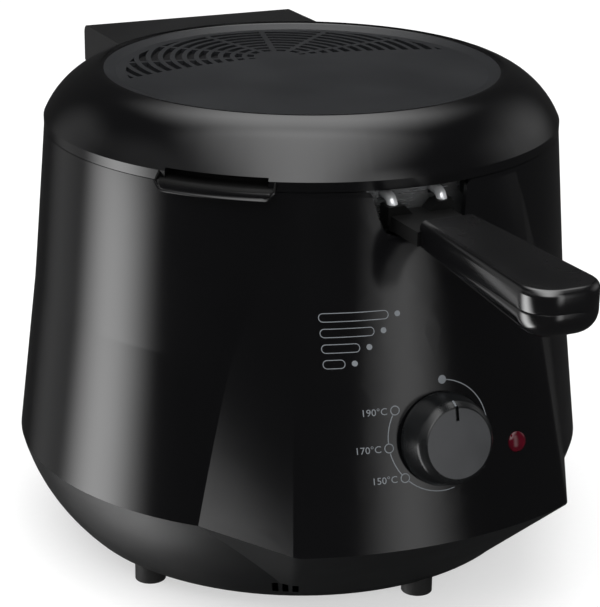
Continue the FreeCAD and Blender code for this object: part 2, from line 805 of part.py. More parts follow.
def make_controls():
    """Thermostat, knob and pilot lamp on the front panel, and the wiring pieces in the base."""
    plate_top = -bracket_setback
    plate_low = plate_top - dim.bracket_sheet
    half_width = dim.bracket_width / 2
    half_height = dim.bracket_height / 2
    plate = padded("bracket_plate", "XY_Plane",
                   box_outline(-half_width, -half_height, half_width, half_height),
                   plate_low, dim.bracket_sheet)
    bush = cylinder("bush_bar", dim.bush_radius, bracket_setback + dim.bracket_sheet, 0.0, 0.0, 0.0)
    on_panel_from(bush, 0.0, dim.knob_height, as_size(0.0), bracket_setback + dim.bracket_sheet)
    on_panel(plate, 0.0, dim.knob_height)
    keep(cut("thermostat_bracket", plate, bush), "thermostat_bracket")
    half_side = dim.thermostat_side / 2
    block = padded("thermostat_block", "XY_Plane", box_outline(-half_side, -half_side, half_side, half_side),
                   plate_low - dim.thermostat_depth, dim.thermostat_depth)
    on_panel(block, 0.0, dim.knob_height)
    shaft_length = dim.knob_depth + bracket_setback + dim.bracket_sheet + dim.thermostat_depth / 2
    shaft_length = shaft_length - dim.knob_crown
    shaft_low = bracket_setback + dim.bracket_sheet + dim.thermostat_depth / 2
    bore = cylinder("shaft_bore", dim.shaft_radius + dim.shaft_play, shaft_length, 0.0, 0.0, 0.0)
    on_panel_from(bore, 0.0, dim.knob_height, as_size(0.0), shaft_low + dim.shaft_play)
    keep(cut("thermostat_body", fused("thermostat_mass", [block, bush]), bore), "thermostat_body")
    shaft = keep(cylinder("thermostat_shaft", dim.shaft_radius, shaft_length, 0.0, 0.0, 0.0),
                 "thermostat_shaft")
    on_panel_from(shaft, 0.0, dim.knob_height, as_size(0.0), shaft_low)

    face = dim.knob_depth
    crown = face - dim.knob_crown
    knob = revolved("knob_blank", [
        (dim.shaft_radius, dim.knob_float),
        (dim.knob_radius, dim.knob_float),
        (dim.knob_radius, dim.knob_float + dim.knob_skirt),
        (dim.knob_face_radius, face - dim.pointer_depth),
        (dim.knob_face_radius - dim.pointer_depth, face),
        (0.0, face),
        (0.0, crown),
        (dim.shaft_radius, crown),
    ])
    on_panel(knob, 0.0, dim.knob_height)
    pointer_end = dim.knob_face_radius - dim.pointer_width
    pointer = padded("knob_pointer_body", "XY_Plane", box_outline(
        -dim.pointer_width / 2, pointer_end - dim.pointer_length, dim.pointer_width / 2, pointer_end),
        face - dim.pointer_depth, dim.pointer_depth)
    on_panel(pointer, 0.0, dim.knob_height)
    keep(pointer, "knob_pointer")
    keep(cut("control_knob", knob, pointer), "control_knob")

    lens = revolved("pilot_lens_body", [
        (0.0, -dim.lens_barrel),
        (dim.lens_radius, -dim.lens_barrel),
        (dim.lens_radius, dim.lens_crown / 2),
        (dim.lens_radius / 2, dim.lens_crown),
        (0.0, dim.lens_crown),
    ])
    on_panel(lens, dim.lamp_offset, dim.lamp_height, lamp_setback)
    keep(lens, "pilot_lens")
    holder_front = dim.holder_overlap - dim.lens_barrel
    holder_back = holder_front - dim.holder_length
    holder = revolved("lamp_holder_body", tube_outline(dim.lens_radius, dim.holder_radius,
                                                       holder_back, holder_front))
    on_panel(holder, dim.lamp_offset, dim.lamp_height, lamp_setback)
    keep(holder, "lamp_holder")
    lamp = revolved("pilot_lamp_body", [
        (0.0, holder_back),
        (dim.lens_radius, holder_back),
        (dim.lens_radius, holder_back + dim.wall),
        (dim.lamp_radius, holder_back + dim.wall),
        (dim.lamp_radius, -dim.lens_barrel - dim.fit_gap),
        (0.0, -dim.lens_barrel - dim.fit_gap),
    ])
    on_panel(lamp, dim.lamp_offset, dim.lamp_height, lamp_setback)
    keep(lamp, "pilot_lamp")

    half_terminal = dim.terminal_width / 2
    keep(padded("terminal_block_body", "XY_Plane", box_outline(
        -half_terminal, terminal_offset, half_terminal, terminal_offset + dim.terminal_depth),
        tray_floor_top, dim.terminal_height), "terminal_block")
    gland_back = base_seam_radius
    barrel = cylinder("gland_barrel", dim.gland_radius, dim.gland_length, 0.0, gland_back,
                      dim.gland_height, as_size(90.0))
    cord_bore = cylinder("gland_cord_bore", dim.gland_bore, dim.gland_length + 2 * dim.gland_flange, 0.0,
                         gland_back + dim.gland_flange, dim.gland_height, as_size(90.0))
    keep(cut("cord_gland", barrel, cord_bore), "cord_gland")


def lug_outline():
    """Side outline of a hinge lug: a block against the shell with a round nose on the pin."""
    low = hinge_height - dim.lug_drop
    front = hinge_reach - dim.lug_depth
    shoulder = hinge_height + dim.lug_screw_radius
    return [
        (front, low),
        (hinge_reach - dim.hinge_nose, low),
        (hinge_reach, hinge_height - dim.hinge_nose),
        (hinge_reach + dim.hinge_nose, hinge_height, dim.hinge_nose, "left"),
        (hinge_reach, hinge_height + dim.hinge_nose, dim.hinge_nose, "left"),
        (hinge_reach - dim.hinge_nose, shoulder),
        (front, shoulder),
    ]


def make_hinge(shell_outside):
    """Two lugs on the shell, the pin, and the lid's knuckle and rear cover."""
    pin_length = 2 * lug_outer
    pin = doc.addObject("Part::Cylinder", "hinge_pin")
    bind(pin, "Radius", dim.pin_radius)
    bind(pin, "Height", pin_length)
    pin.Placement = FreeCAD.Placement(FreeCAD.Vector(), FreeCAD.Rotation(FreeCAD.Vector(0, 1, 0), 90))
    place(pin, -lug_outer, hinge_reach, hinge_height)
    keep(pin, "hinge_pin")
    screws = [obj for obj in doc.Objects if obj.Name.startswith("lug_screw_")]
    lugs = []
    for side, start in (("left", -lug_outer), ("right", lug_inner)):
        lugs.append(padded(f"lug_{side}", "YZ_Plane", lug_outline(), start, lug_outer - lug_inner))
    fitted = cut("lugs_on_shell", grouped("lug_pair", lugs), shell_outside)
    keep(cut("hinge_lugs", fitted, grouped("lug_holes", [pin] + screws)), "hinge_lugs")


def lid_outline():
    """Section of the lid's glossy shell, from the seam up to the rim and the plate's ledge."""
    inner_seam = lid_seam_radius - dim.wall
    inner_shoulder = rim_radius + 2 * dim.wall
    return [
        (inner_seam, lid_bottom),
        (lid_seam_radius, lid_bottom),
        (lid_seam_radius, band_top),
        (rim_radius, rim_height, dim.lid_arc_radius, "left"),
        (rim_radius - dim.rim_width, rim_height),
        (rim_radius - dim.rim_width, ledge_top),
        (ledge_radius, ledge_top),
        (ledge_radius, ledge_bottom),
        (inner_shoulder, ledge_bottom),
        (inner_seam, band_top, dim.lid_arc_radius - dim.wall, "right"),
    ]


def ring_sector(inner, outer, start, end, low, high):
    """Solid sector of a ring about the Z axis, between two angles in degrees."""

    def spot(radius, angle):
        turn = math.radians(angle)
        return FreeCAD.Vector(radius * math.cos(turn), radius * math.sin(turn), low)

    middle = (start + end) / 2
    edges = [
        Part.Arc(spot(inner, start), spot(inner, middle), spot(inner, end)).toShape(),
        Part.LineSegment(spot(inner, end), spot(outer, end)).toShape(),
        Part.Arc(spot(outer, end), spot(outer, middle), spot(outer, start)).toShape(),
        Part.LineSegment(spot(outer, start), spot(inner, start)).toShape(),
    ]
    return Part.Face(Part.Wire(edges)).extrude(FreeCAD.Vector(0, 0, high - low))


def grille_slots():
    """Slots of the steam grille: arcs about a focus, parted by spokes, inside a crescent."""
    low = float(ledge_top) - 1
    high = float(rim_height) + 1
    focus = float(dim.grille_focus)
    pitch = float(dim.grille_pitch)
    slot = float(dim.grille_slot)
    rib = float(dim.grille_rib)
    edge = float(dim.grille_edge_radius)
    rows = int((float(grille_radius) + focus) / pitch)
    sector = GRILLE_SPAN / GRILLE_SECTORS
    slots = []
    for row in range(GRILLE_FIRST_ROW, rows):
        inner = row * pitch
        spoke = math.degrees(rib / (inner + slot / 2))
        for number in range(GRILLE_SECTORS):
            start = GRILLE_START + sector * number
            slots.append(ring_sector(inner, inner + slot, start + spoke / 2, start + sector - spoke / 2,
                                     low, high))
    pattern = Part.makeCompound(slots)
    pattern.translate(FreeCAD.Vector(0, focus, 0))
    crescent = Part.makeCylinder(float(grille_radius), high - low, FreeCAD.Vector(0, 0, low))
    below = Part.makeCylinder(edge, high - low, FreeCAD.Vector(0, focus - edge, low))
    tool = doc.addObject("Part::Feature", "grille_slots")
    tool.Shape = pattern.common(crescent.cut(below))
    tool.Placement = FreeCAD.Placement(FreeCAD.Vector(0, float(axis_y), 0), FreeCAD.Rotation())
    return tool


def grip_sector(name, inner, outer, low, high, spread):
    """Sector of a ring about the bowl's axis, centred on the lid's grip."""
    wedge = doc.addObject("Part::Cylinder", f"{name}_wedge")
    bind(wedge, "Radius", outer)
    bind(wedge, "Height", high - low)
    bind(wedge, "Angle", spread)
    place(wedge, 0.0, as_size(0.0), low, 270 - dim.grip_angle - spread / 2, Z_AXIS)
    core = cylinder(f"{name}_core", inner, high - low, 0.0, 0.0, low)
    return cut(name, wedge, core)


def make_lid_shell():
    """Glossy lid shell with a finger pocket over an outward lip."""
    spread = dim.grip_spread + 2 * dim.grip_side
    inner_seam = lid_seam_radius - dim.wall
    back = grip_inner - dim.grip_back
    lip_inner = lid_seam_radius + dim.grip_lip_gap
    outer = lid_seam_radius + dim.grip_reach
    beyond = lid_seam_radius + spare
    floor = grip_sector("grip_floor_plate", back, outer, lid_bottom, grip_floor_top, spread)
    lip = grip_sector("grip_lip", lip_inner, outer, lid_bottom - dim.grip_lip, lid_bottom, spread)
    backing = grip_sector("grip_backing", back, inner_seam, grip_floor_top, band_top, spread)
    lid = revolved("lid_shell_blank", lid_outline())
    ceiling_plate = grip_sector("grip_ceiling_plate", back, inner_seam, band_top,
                                grip_top + dim.grip_ceiling, spread)
    ceiling = cut("grip_ceiling", ceiling_plate, lid)
    pocket = grip_sector("grip_pocket", grip_inner, beyond, grip_floor_top, grip_top, dim.grip_spread)
    grip = fused("grip_mass", [floor, lip, backing, ceiling])
    keep(cut("lid_grip", grip, pocket), "lid_grip")
    room = grip_sector("grip_room", back, beyond, lid_bottom, grip_floor_top, spread)
    keep(cut("lid_shell", lid, fused("lid_openings", [room, pocket])), "lid_shell")


def make_lid():
    """Lid shell, grille plate, filter, liner, rear cover and lift grip."""
    make_lid_shell()
    plate = revolved("top_plate_blank", [
        (0.0, ledge_top),
        (plate_radius, ledge_top),
        (plate_radius, rim_height - dim.seam_gap),
        (plate_radius - dim.bevel_width, rim_height - dim.bevel_drop),
        (0.0, rim_height - dim.bevel_drop),
    ])
    keep(cut("lid_top_plate", plate, grille_slots()), "lid_top_plate")
    keep(revolved("filter_mesh_body", [
        (0.0, filter_top), (filter_radius, filter_top), (filter_radius, ledge_top), (0.0, ledge_top),
    ]), "filter_mesh")
    keep(revolved("filter_pad_body", [
        (0.0, filter_bottom), (filter_radius, filter_bottom), (filter_radius, filter_top),
        (0.0, filter_top),
    ]), "filter_pad")
    liner_low = liner_top - dim.liner_thickness
    spots = round_spots(LINER_SCREW_COUNT, ledge_radius + dim.liner_screw_gap, 45.0)
    screws = [cylinder(f"liner_screw_{number}", dim.liner_screw_radius, ledge_bottom - liner_low,
                       x, y, liner_low) for number, (x, y) in enumerate(spots)]
    screw_group = keep(grouped("liner_screws", screws), "liner_screws")
    liner = revolved("lid_liner_blank", tube_outline(
        dim.liner_bore, rim_radius + dim.liner_overhang, liner_low, liner_top))
    keep(cut("lid_liner", liner, screw_group), "lid_liner")

    lid_core = revolved("lid_core", [
        (0.0, lid_bottom), (lid_seam_radius, lid_bottom), (lid_seam_radius, band_top),
        (rim_radius, rim_height, dim.lid_arc_radius, "left"), (0.0, rim_height),
    ])
    corner = rear_reach - dim.cover_round
    cover_width = 2 * cover_half_width
    cover = padded("cover_blank", "YZ_Plane", [
        (dim.cover_front, cover_bottom), (rear_reach, cover_bottom),
        (rear_reach, cover_top - dim.cover_round), (corner, cover_top, dim.cover_round, "left"),
        (dim.cover_front, cover_top),
    ], -cover_half_width, cover_width)
    hollow = padded("cover_hollow", "YZ_Plane", [
        (dim.cover_front, cover_bottom - spare), (rear_reach - dim.wall, cover_bottom - spare),
        (rear_reach - dim.wall, cover_top - dim.cover_round),
        (corner, cover_top - dim.wall, dim.cover_round - dim.wall, "left"),
        (dim.cover_front, cover_top - dim.wall),
    ], dim.wall - cover_half_width, cover_width - 2 * dim.wall)
    keep(cut("hinge_cover", cut("cover_walls", cover, hollow), lid_core), "hinge_cover")
    knuckle = padded("knuckle_blank", "YZ_Plane", [
        (hinge_reach - dim.hinge_nose, cover_top - dim.wall),
        (hinge_reach - dim.hinge_nose, hinge_height),
        (hinge_reach, hinge_height - dim.hinge_nose, dim.hinge_nose, "left"),
        (hinge_reach + dim.hinge_nose, hinge_height, dim.hinge_nose, "left"),
        (hinge_reach + dim.hinge_nose, cover_top - dim.wall),
    ], -dim.knuckle_half_width, 2 * dim.knuckle_half_width)
    knuckle_bore = doc.addObject("Part::Cylinder", "knuckle_bore")
    bind(knuckle_bore, "Radius", dim.pin_radius + dim.pin_play)
    bind(knuckle_bore, "Height", 2 * lug_outer)
    knuckle_bore.Placement = FreeCAD.Placement(FreeCAD.Vector(),
                                               FreeCAD.Rotation(FreeCAD.Vector(0, 1, 0), 90))
    place(knuckle_bore, -lug_outer, hinge_reach, hinge_height)
    keep(cut("hinge_knuckle", knuckle, knuckle_bore), "hinge_knuckle")


def rod_path(x):
    """Route of one handle wire: out of the yoke, up, over the bowl's lip and down into the basket."""
    bend = float(dim.rod_bend)
    y_points = [-float(yoke_root) + bend, -float(rod_outer), -float(rod_outer), -float(rod_inner),
                -float(rod_inner)]
    z_points = [float(rod_entry), float(rod_entry), float(rod_top), float(rod_top),
                float(basket_rim_height) - float(dim.rod_tail)]
    corners = [FreeCAD.Vector(x, y, z) for y, z in zip(y_points, z_points)]
    edges = []
    start = corners[0]
    for before, corner, after in zip(corners, corners[1:], corners[2:]):
        arrive = (before - corner).normalize() * bend
        leave = (after - corner).normalize() * bend
        middle = corner + (arrive + leave) * (1 - math.sqrt(0.5))
        edges.append(Part.LineSegment(start, corner + arrive).toShape())
        edges.append(Part.Arc(corner + arrive, middle, corner + leave).toShape())
        start = corner + leave
    edges.append(Part.LineSegment(start, corners[-1]).toShape())
    return Part.Wire(edges)


def make_rods():
    """Both handle wires as swept solids."""
    rods = []
    for x in (-float(dim.rod_offset), float(dim.rod_offset)):
        path = rod_path(x)
        begin = path.Vertexes[0].Point
        section = Part.Wire(Part.makeCircle(float(dim.rod_radius), begin, FreeCAD.Vector(0, 1, 0)))
        rods.append(path.makePipeShell([section], True, False))
    rod_pair = doc.addObject("Part::Feature", "handle_rods")
    rod_pair.Shape = Part.makeCompound(rods)
    rod_pair.Placement = FreeCAD.Placement(FreeCAD.Vector(0, float(axis_y), 0), FreeCAD.Rotation())
    return keep(rod_pair, "handle_rods")


def basket_windows():
    """Openings of the basket wall, in level rows."""
    half_angle = math.degrees(float(dim.window_width) / float(basket_radius)) / 2
    inner = float(basket_base_radius) / 2
    outer = float(basket_radius) + spare
    first = float(basket_bottom + dim.basket_sheet + dim.window_sill)
    pitch = (float(basket_top - dim.window_head + dim.window_rib) - first) / WINDOW_ROWS
    windows = []
    for row in range(WINDOW_ROWS):
        low = first + pitch * row
        for column in range(WINDOW_COLUMNS):
            middle = 360.0 / WINDOW_COLUMNS * column
            windows.append(ring_sector(inner, outer, middle - half_angle, middle + half_angle,
                                       low, low + pitch - float(dim.window_rib)))
    tool = doc.addObject("Part::Feature", "basket_windows")
    tool.Shape = Part.makeCompound(windows)
    tool.Placement = FreeCAD.Placement(FreeCAD.Vector(0, float(axis_y), 0), FreeCAD.Rotation())
    return tool


def make_bucket():
    """Perforated basket wall with a closed rim of wire."""
    rim = doc.addObject("Part::Torus", "basket_rim")
    bind(rim, "Radius1", basket_radius)
    bind(rim, "Radius2", dim.basket_wire)
    place(rim, 0.0, as_size(0.0), basket_rim_height)
    keep(rim, "basket_rim")
    inner_top = basket_radius - dim.basket_sheet
    inner_low = basket_base_radius - dim.basket_sheet
    bucket = revolved("basket_body", [
        (0.0, basket_bottom),
        (basket_base_radius, basket_bottom),
        (basket_radius, basket_top),
        (inner_top, basket_top),
        (inner_low, basket_bottom + dim.basket_sheet),
        (0.0, basket_bottom + dim.basket_sheet),
    ])
    keep(cut("basket_mesh", bucket, basket_windows()), "basket_mesh")


def handle_outline():
    """Plan of the handle: narrow at the root, wider towards a rounded end."""
    tip_half = dim.handle_tip_half_width
    tip_arc = dim.handle_tip_radius
    shoulder = handle_reach - tip_arc + root(tip_arc * tip_arc - tip_half * tip_half)
    return [
        (-dim.handle_root_half_width, -yoke_root),
        (-tip_half, -shoulder),
        (tip_half, -shoulder, tip_arc, "left"),
        (dim.handle_root_half_width, -yoke_root),
    ]


def saddle_outline():
    """Front of the yoke: two posts that take the wires, with a low saddle between them."""
    outer = dim.rod_offset + post_reach
    inner = dim.rod_offset - post_reach
    foot = inner - dim.post_rise
    top = yoke_top + dim.post_rise
    return [
        (dim.yoke_half_width, yoke_low),
        (outer, rod_entry),
        (outer, top),
        (inner, top),
        (foot, yoke_top),
        (-foot, yoke_top),
        (-inner, top),
        (-outer, top),
        (-outer, rod_entry),
        (-dim.yoke_half_width, yoke_low),
    ]


def make_basket():
    """Basket, its wires and the two-part handle."""
    make_bucket()
    rods = make_rods()
    block = padded("yoke_block", "XY_Plane", box_outline(
        -dim.yoke_half_width, -yoke_root, dim.yoke_half_width, -(rod_outer + post_reach)),
        yoke_low, dim.yoke_height)
    saddle = padded("yoke_saddle", "XZ_Plane", saddle_outline(), rod_outer - post_reach, 2 * post_reach)
    tongue = padded("yoke_tongue", "XY_Plane", box_outline(
        -dim.tongue_half_width, -(yoke_root + dim.tongue_length), dim.tongue_half_width, -yoke_root),
        handle_split - dim.tongue_height / 2, dim.tongue_height)
    screws = []
    for number in range(2):
        y = -(yoke_root + dim.handle_screw_inset + dim.handle_screw_pitch * number)
        screws.append(cylinder(f"handle_screw_{number}", dim.handle_screw_radius, dim.handle_upper_height,
                               0.0, y, handle_split - dim.handle_upper_height))
    keep(grouped("handle_screws", screws), "handle_screws")
    yoke = keep(cut("handle_yoke", fused("yoke_mass", [block, saddle, tongue]),
                    grouped("yoke_holes", [rods] + screws)), "handle_yoke")
    upper = padded("handle_upper_blank", "XY_Plane", handle_outline(), handle_split, dim.handle_upper_height)
    keep(cut("handle_upper", upper, yoke), "handle_upper")
    lower_low = handle_split - dim.handle_lower_tip
    slab = padded("handle_lower_slab", "XY_Plane", handle_outline(), lower_low, dim.handle_lower_tip)
    wedge = padded("handle_wedge", "YZ_Plane", [
        (-yoke_root + spare, handle_split - dim.handle_lower_root),
        (-yoke_root + spare, lower_low - spare),
        (-handle_reach, lower_low - spare),
        (-handle_reach, lower_low),
        (-handle_reach + dim.handle_tip_radius, lower_low),
    ], -2 * dim.handle_tip_half_width, 4 * dim.handle_tip_half_width)
    keep(cut("handle_lower", cut("handle_lower_wedge", slab, wedge),
             fused("handle_lower_room", [yoke] + screws)), "handle_lower")


shell_outside = make_housing()
make_bowl()
make_controls()
make_hinge(shell_outside)
make_lid()
make_basket()
doc.recompute()

faults = [f"{obj.Label}: {obj.State}" for obj in doc.Objects
          if "Invalid" in obj.State or "Error" in obj.State]
for piece in pieces:
    if piece.Shape.isNull() or not piece.Shape.isValid() or not piece.Shape.Solids:
        faults.append(f"{piece.Label}: no sound solid")
if faults:
    raise RuntimeError("\n".join(faults))

os.makedirs("parts", exist_ok=True)
for piece in pieces:
    piece.Shape.exportStep(f"parts/{piece.Label}.step")
    box = piece.Shape.BoundBox
    print(f"{piece.Label}: {len(piece.Shape.Solids)} solids, {piece.Shape.Volume:.0f} mm3, "
          f"z {box.ZMin:.1f} to {box.ZMax:.1f}, y {box.YMin:.1f} to {box.YMax:.1f}")
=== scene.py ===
import json
import math

import bmesh
import bpy
from bpy.props import FloatProperty, FloatVectorProperty, IntProperty, PointerProperty, StringProperty
from mathutils import Matrix, Vector


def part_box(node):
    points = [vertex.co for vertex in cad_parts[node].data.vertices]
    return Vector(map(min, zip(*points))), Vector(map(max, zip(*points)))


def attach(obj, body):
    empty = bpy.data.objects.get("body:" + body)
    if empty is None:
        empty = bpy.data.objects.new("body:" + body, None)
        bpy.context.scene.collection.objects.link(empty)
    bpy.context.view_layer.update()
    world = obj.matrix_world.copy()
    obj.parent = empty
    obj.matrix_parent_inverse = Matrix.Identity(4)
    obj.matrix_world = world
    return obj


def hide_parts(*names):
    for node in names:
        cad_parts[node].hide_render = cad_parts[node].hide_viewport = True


bl_info = {
    "name": "Deep fryer finish",
    "version": (1, 0, 0),
    "blender": (4, 5, 0),
    "location": "View3D > Sidebar > Fryer",
    "description": "Finishes, printed marks, knob, handle and basket of a compact deep fryer",
    "category": "Object",
}

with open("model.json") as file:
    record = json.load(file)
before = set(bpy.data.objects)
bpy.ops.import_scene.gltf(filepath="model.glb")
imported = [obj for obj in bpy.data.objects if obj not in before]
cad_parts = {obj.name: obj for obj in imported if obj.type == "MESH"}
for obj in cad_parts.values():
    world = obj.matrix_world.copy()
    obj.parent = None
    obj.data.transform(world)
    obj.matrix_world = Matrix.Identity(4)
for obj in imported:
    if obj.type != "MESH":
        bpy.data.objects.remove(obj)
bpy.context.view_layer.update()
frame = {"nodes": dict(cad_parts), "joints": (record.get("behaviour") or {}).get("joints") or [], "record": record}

MM = 0.001
# Distances below these count as none: the first between places, the second between heights.
NEAR = 0.1 * MM
LEVEL = 0.01 * MM
# The basket's rim is round about the bowl's axis, which stands behind the middle of the part.
rim_low, rim_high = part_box("basket_rim")
BOWL_AXIS_Y = (rim_low.y + rim_high.y) / 2
# The knob's joint lies on the control panel and square to it, so it gives the panel's place and lean.
knob_joint = next(joint for joint in frame["joints"] if joint["name"] == "knob_turn")
KNOB_PLACE = Vector(knob_joint["pos_m"])
PANEL_OUTWARD = -Vector(knob_joint["axis"])
PANEL_TILT = math.atan2(PANEL_OUTWARD.z, -PANEL_OUTWARD.y)
PANEL_TURN = math.pi / 2 - PANEL_TILT
# A print is laid on the panel from in front, and is this thick and this far off it.
PRINT_STANDOFF = 12.0 * MM
PRINT_LIFT = 0.04 * MM
PRINT_THICKNESS = 0.08 * MM
# The photograph's frame, in pixels, and the camera's focal length in the same pixels.
IMAGE_WIDTH = 600
IMAGE_HEIGHT = 607
FOCAL_PIXELS = 1960.33
SENSOR_SIZE = 36.0
# Shares of a noise's range between which tone and sheen change, for plastic and for metal.
MOULD_RANGE = (0.3, 0.7)
METAL_RANGE = (0.25, 0.75)


def panel_point(x, height):
    """Point of the control panel's middle line at a height, moved sideways by x."""
    rise = height - KNOB_PLACE.z
    return KNOB_PLACE + Vector((x, rise * math.tan(PANEL_TILT), rise))


def linear(code):
    """Linear colour with alpha from an sRGB hex value."""
    parts = [int(code[place:place + 2], 16) / 255 for place in (1, 3, 5)]
    return [c / 12.92 if c <= 0.04045 else ((c + 0.055) / 1.055) ** 2.4 for c in parts] + [1.0]


def tone(code, share):
    """Darker or lighter tone of an sRGB hex value, as a linear colour with alpha."""
    return [min(1.0, c * share) for c in linear(code)[:3]] + [1.0]


def per_size(size_mm):
    """Texture scale whose features are about this many millimetres wide."""
    return 1000.0 / size_mm


class FryerSizes(bpy.types.PropertyGroup):
    """Sizes of the pieces that are modelled here."""

    knob_radius: FloatProperty(
        name="Knob radius", description="Radius of the knob's skirt", default=0.0198,
        min=0.01, unit="LENGTH")
    knob_depth: FloatProperty(
        name="Knob depth", description="How far the knob stands off the panel", default=0.0148,
        min=0.008, unit="LENGTH")
    dial_radius: FloatProperty(
        name="Dial radius", description="Radius of the printed scale round the knob", default=0.0234,
        min=0.021, unit="LENGTH")
    number_height: FloatProperty(
        name="Number height", description="Height of the scale's figures", default=0.0029,
        min=0.001, unit="LENGTH")
    guide_height: FloatProperty(
        name="Guide height", description="Height of the printed bars above the table", default=0.1365,
        min=0.12, unit="LENGTH")
    handle_round: FloatProperty(
        name="Handle rounding", description="Rounding of the handle's lower edges", default=0.0088,
        min=0.001, unit="LENGTH")
    wire_count: IntProperty(
        name="Basket wires", description="Upright wires round the basket", default=84, min=24)
    wire_rows: IntProperty(
        name="Basket rows", description="Level wires from the basket's floor to its rim", default=22, min=6)
    wire_thickness: FloatProperty(
        name="Wire thickness", description="Thickness of the basket's mesh wire", default=0.0009,
        min=0.0003, unit="LENGTH")


class FryerColours(bpy.types.PropertyGroup):
    """Colours of the finishes that show, as sRGB hex values."""

    gloss: StringProperty(
        name="Gloss shell", description="Polished moulding of the body and lid", default="#080809")
    base: StringProperty(
        name="Base", description="Grained moulding of the base", default="#08090A")
    plate: StringProperty(
        name="Top plate", description="Satin plate with the steam grille", default="#1D1E20")
    handle: StringProperty(
        name="Handle", description="Satin moulding of the handle's top", default="#0B0B0C")
    knob: StringProperty(
        # Lighter than the knob: painted light on the face that turns to the light.
        name="Knob", description="Satin moulding of the knob", default="#101112")
    knob_face: StringProperty(
        name="Knob face", description="Duller face of the knob", default="#333436")
    ink: StringProperty(
        name="Print", description="Pad printed scale and bars", default="#6A6E72")
    lens: StringProperty(
        name="Lens", description="Red lens of the pilot lamp", default="#3E0511")


class FryerStage(bpy.types.PropertyGroup):
    """Camera and light of the stage."""

    view_turn: FloatProperty(
        name="View turn", description="Camera's angle round the bowl's axis from the front",
        default=math.radians(-25.2), subtype="ANGLE")
    view_rise: FloatProperty(
        name="View rise", description="Camera's angle above the table", default=math.radians(20.07),
        subtype="ANGLE")
    view_roll: FloatProperty(
        name="View roll", description="Camera's turn about its own line of sight",
        default=math.radians(0.78), subtype="ANGLE")
    view_distance: FloatProperty(
        name="View distance", description="Camera's distance from its target", default=0.9329,
        min=0.1, unit="LENGTH")
    target: FloatVectorProperty(
        name="Target", description="Sideways step and height of the point in view",
        size=2, default=(0.00049, 0.1047), unit="LENGTH")
    ambient: FloatProperty(
        name="Room light", description="Level of the even light from all round", default=1.0, min=0.0)
    key_power: FloatProperty(
        name="Key power", description="Power of the soft lamp high above the front left", default=46.0,
        min=0.0, unit="POWER")
    key_place: FloatVectorProperty(
        name="Key place", description="Place of the soft lamp", default=(-0.5, -0.6, 2.4), unit="LENGTH")
    key_width: FloatProperty(
        name="Key width", description="Width of the soft lamp", default=2.4, min=0.1, unit="LENGTH")
    dark: FloatProperty(
        name="Room dark", description="Level of the dark studio walls in reflections", default=0.03,
        min=0.0)


def sizes():
    """The sizes that the panel shows."""
    return bpy.context.scene.fryer_sizes


def colours():
    """The colours that the panel shows."""
    return bpy.context.scene.fryer_colours


def deselect():
    """Leave edit mode and deselect every object."""
    if bpy.context.object and bpy.context.object.mode != "OBJECT":
        bpy.ops.object.mode_set(mode="OBJECT")
    bpy.ops.object.select_all(action="DESELECT")


def activate(piece):
    """Make one object the only selected and active one."""
    deselect()
    piece.select_set(True)
    bpy.context.view_layer.objects.active = piece


def begin_edit(piece, kind):
    """Open a piece in edit mode with nothing selected."""
    activate(piece)
    bpy.ops.object.mode_set(mode="EDIT")
    bpy.ops.mesh.select_mode(type=kind)
    bpy.ops.mesh.select_all(action="DESELECT")


def choose(piece, kind, wanted):
    """Select the faces, edges or points that a test accepts, in edit mode."""
    bpy.ops.mesh.select_mode(type=kind)
    bpy.ops.mesh.select_all(action="DESELECT")
    cage = bmesh.from_edit_mesh(piece.data)
    group = {"FACE": cage.faces, "EDGE": cage.edges, "VERT": cage.verts}[kind]
    for item in group:
        if wanted(item):
            item.select_set(True)
    bmesh.update_edit_mesh(piece.data)


def round_edges(piece, wanted, rounding, segments):
    """Round the edges that a test accepts, in edit mode."""
    choose(piece, "EDGE", wanted)
    bpy.ops.mesh.bevel(offset=rounding, segments=segments, affect="EDGES")


def level_edges(height, front_of=math.inf):
    """Test for the edges that lie level at a height and in front of a place."""
    def wanted(edge):
        level = all(abs(corner.co.z - height) < LEVEL for corner in edge.verts)
        return level and min(corner.co.y for corner in edge.verts) < front_of - NEAR
    return wanted


def draw_ring(radius, next_radius, rise, centre):
    """Extrude the selected ring or disc upwards and scale it to its next radius."""
    bpy.ops.mesh.extrude_region_move(TRANSFORM_OT_translate={"value": (0, 0, rise)})
    ratio = next_radius / radius
    bpy.ops.transform.resize(value=(ratio, ratio, 1), center_override=centre)


def named(label):
    """Give the active object and its mesh a name, and return it."""
    piece = bpy.context.object
    piece.name = label
    piece.data.name = label
    return piece


def settle(piece):
    """Put a piece's place, turn and scale into its mesh."""
    activate(piece)
    bpy.ops.object.transform_apply(location=True, rotation=True, scale=True)


def apply_modifier(piece, kind, **settings):
    """Add one modifier with its settings and apply it."""
    activate(piece)
    modifier = piece.modifiers.new(kind.title(), kind)
    for key, value in settings.items():
        setattr(modifier, key, value)
    bpy.ops.object.modifier_apply(modifier=modifier.name)


def smooth(piece, degrees=35.0):
    """Smooth shading with crisp edges above an angle."""
    activate(piece)
    bpy.ops.object.shade_smooth_by_angle(angle=math.radians(degrees))


def block(label, size, centre, lean=0.0):
    """Plain block about its centre, leant about X."""
    deselect()
    bpy.ops.mesh.primitive_cube_add(size=1, location=centre)
    piece = named(label)
    piece.scale = size
    piece.rotation_euler = (lean, 0, 0)
    settle(piece)
    return piece


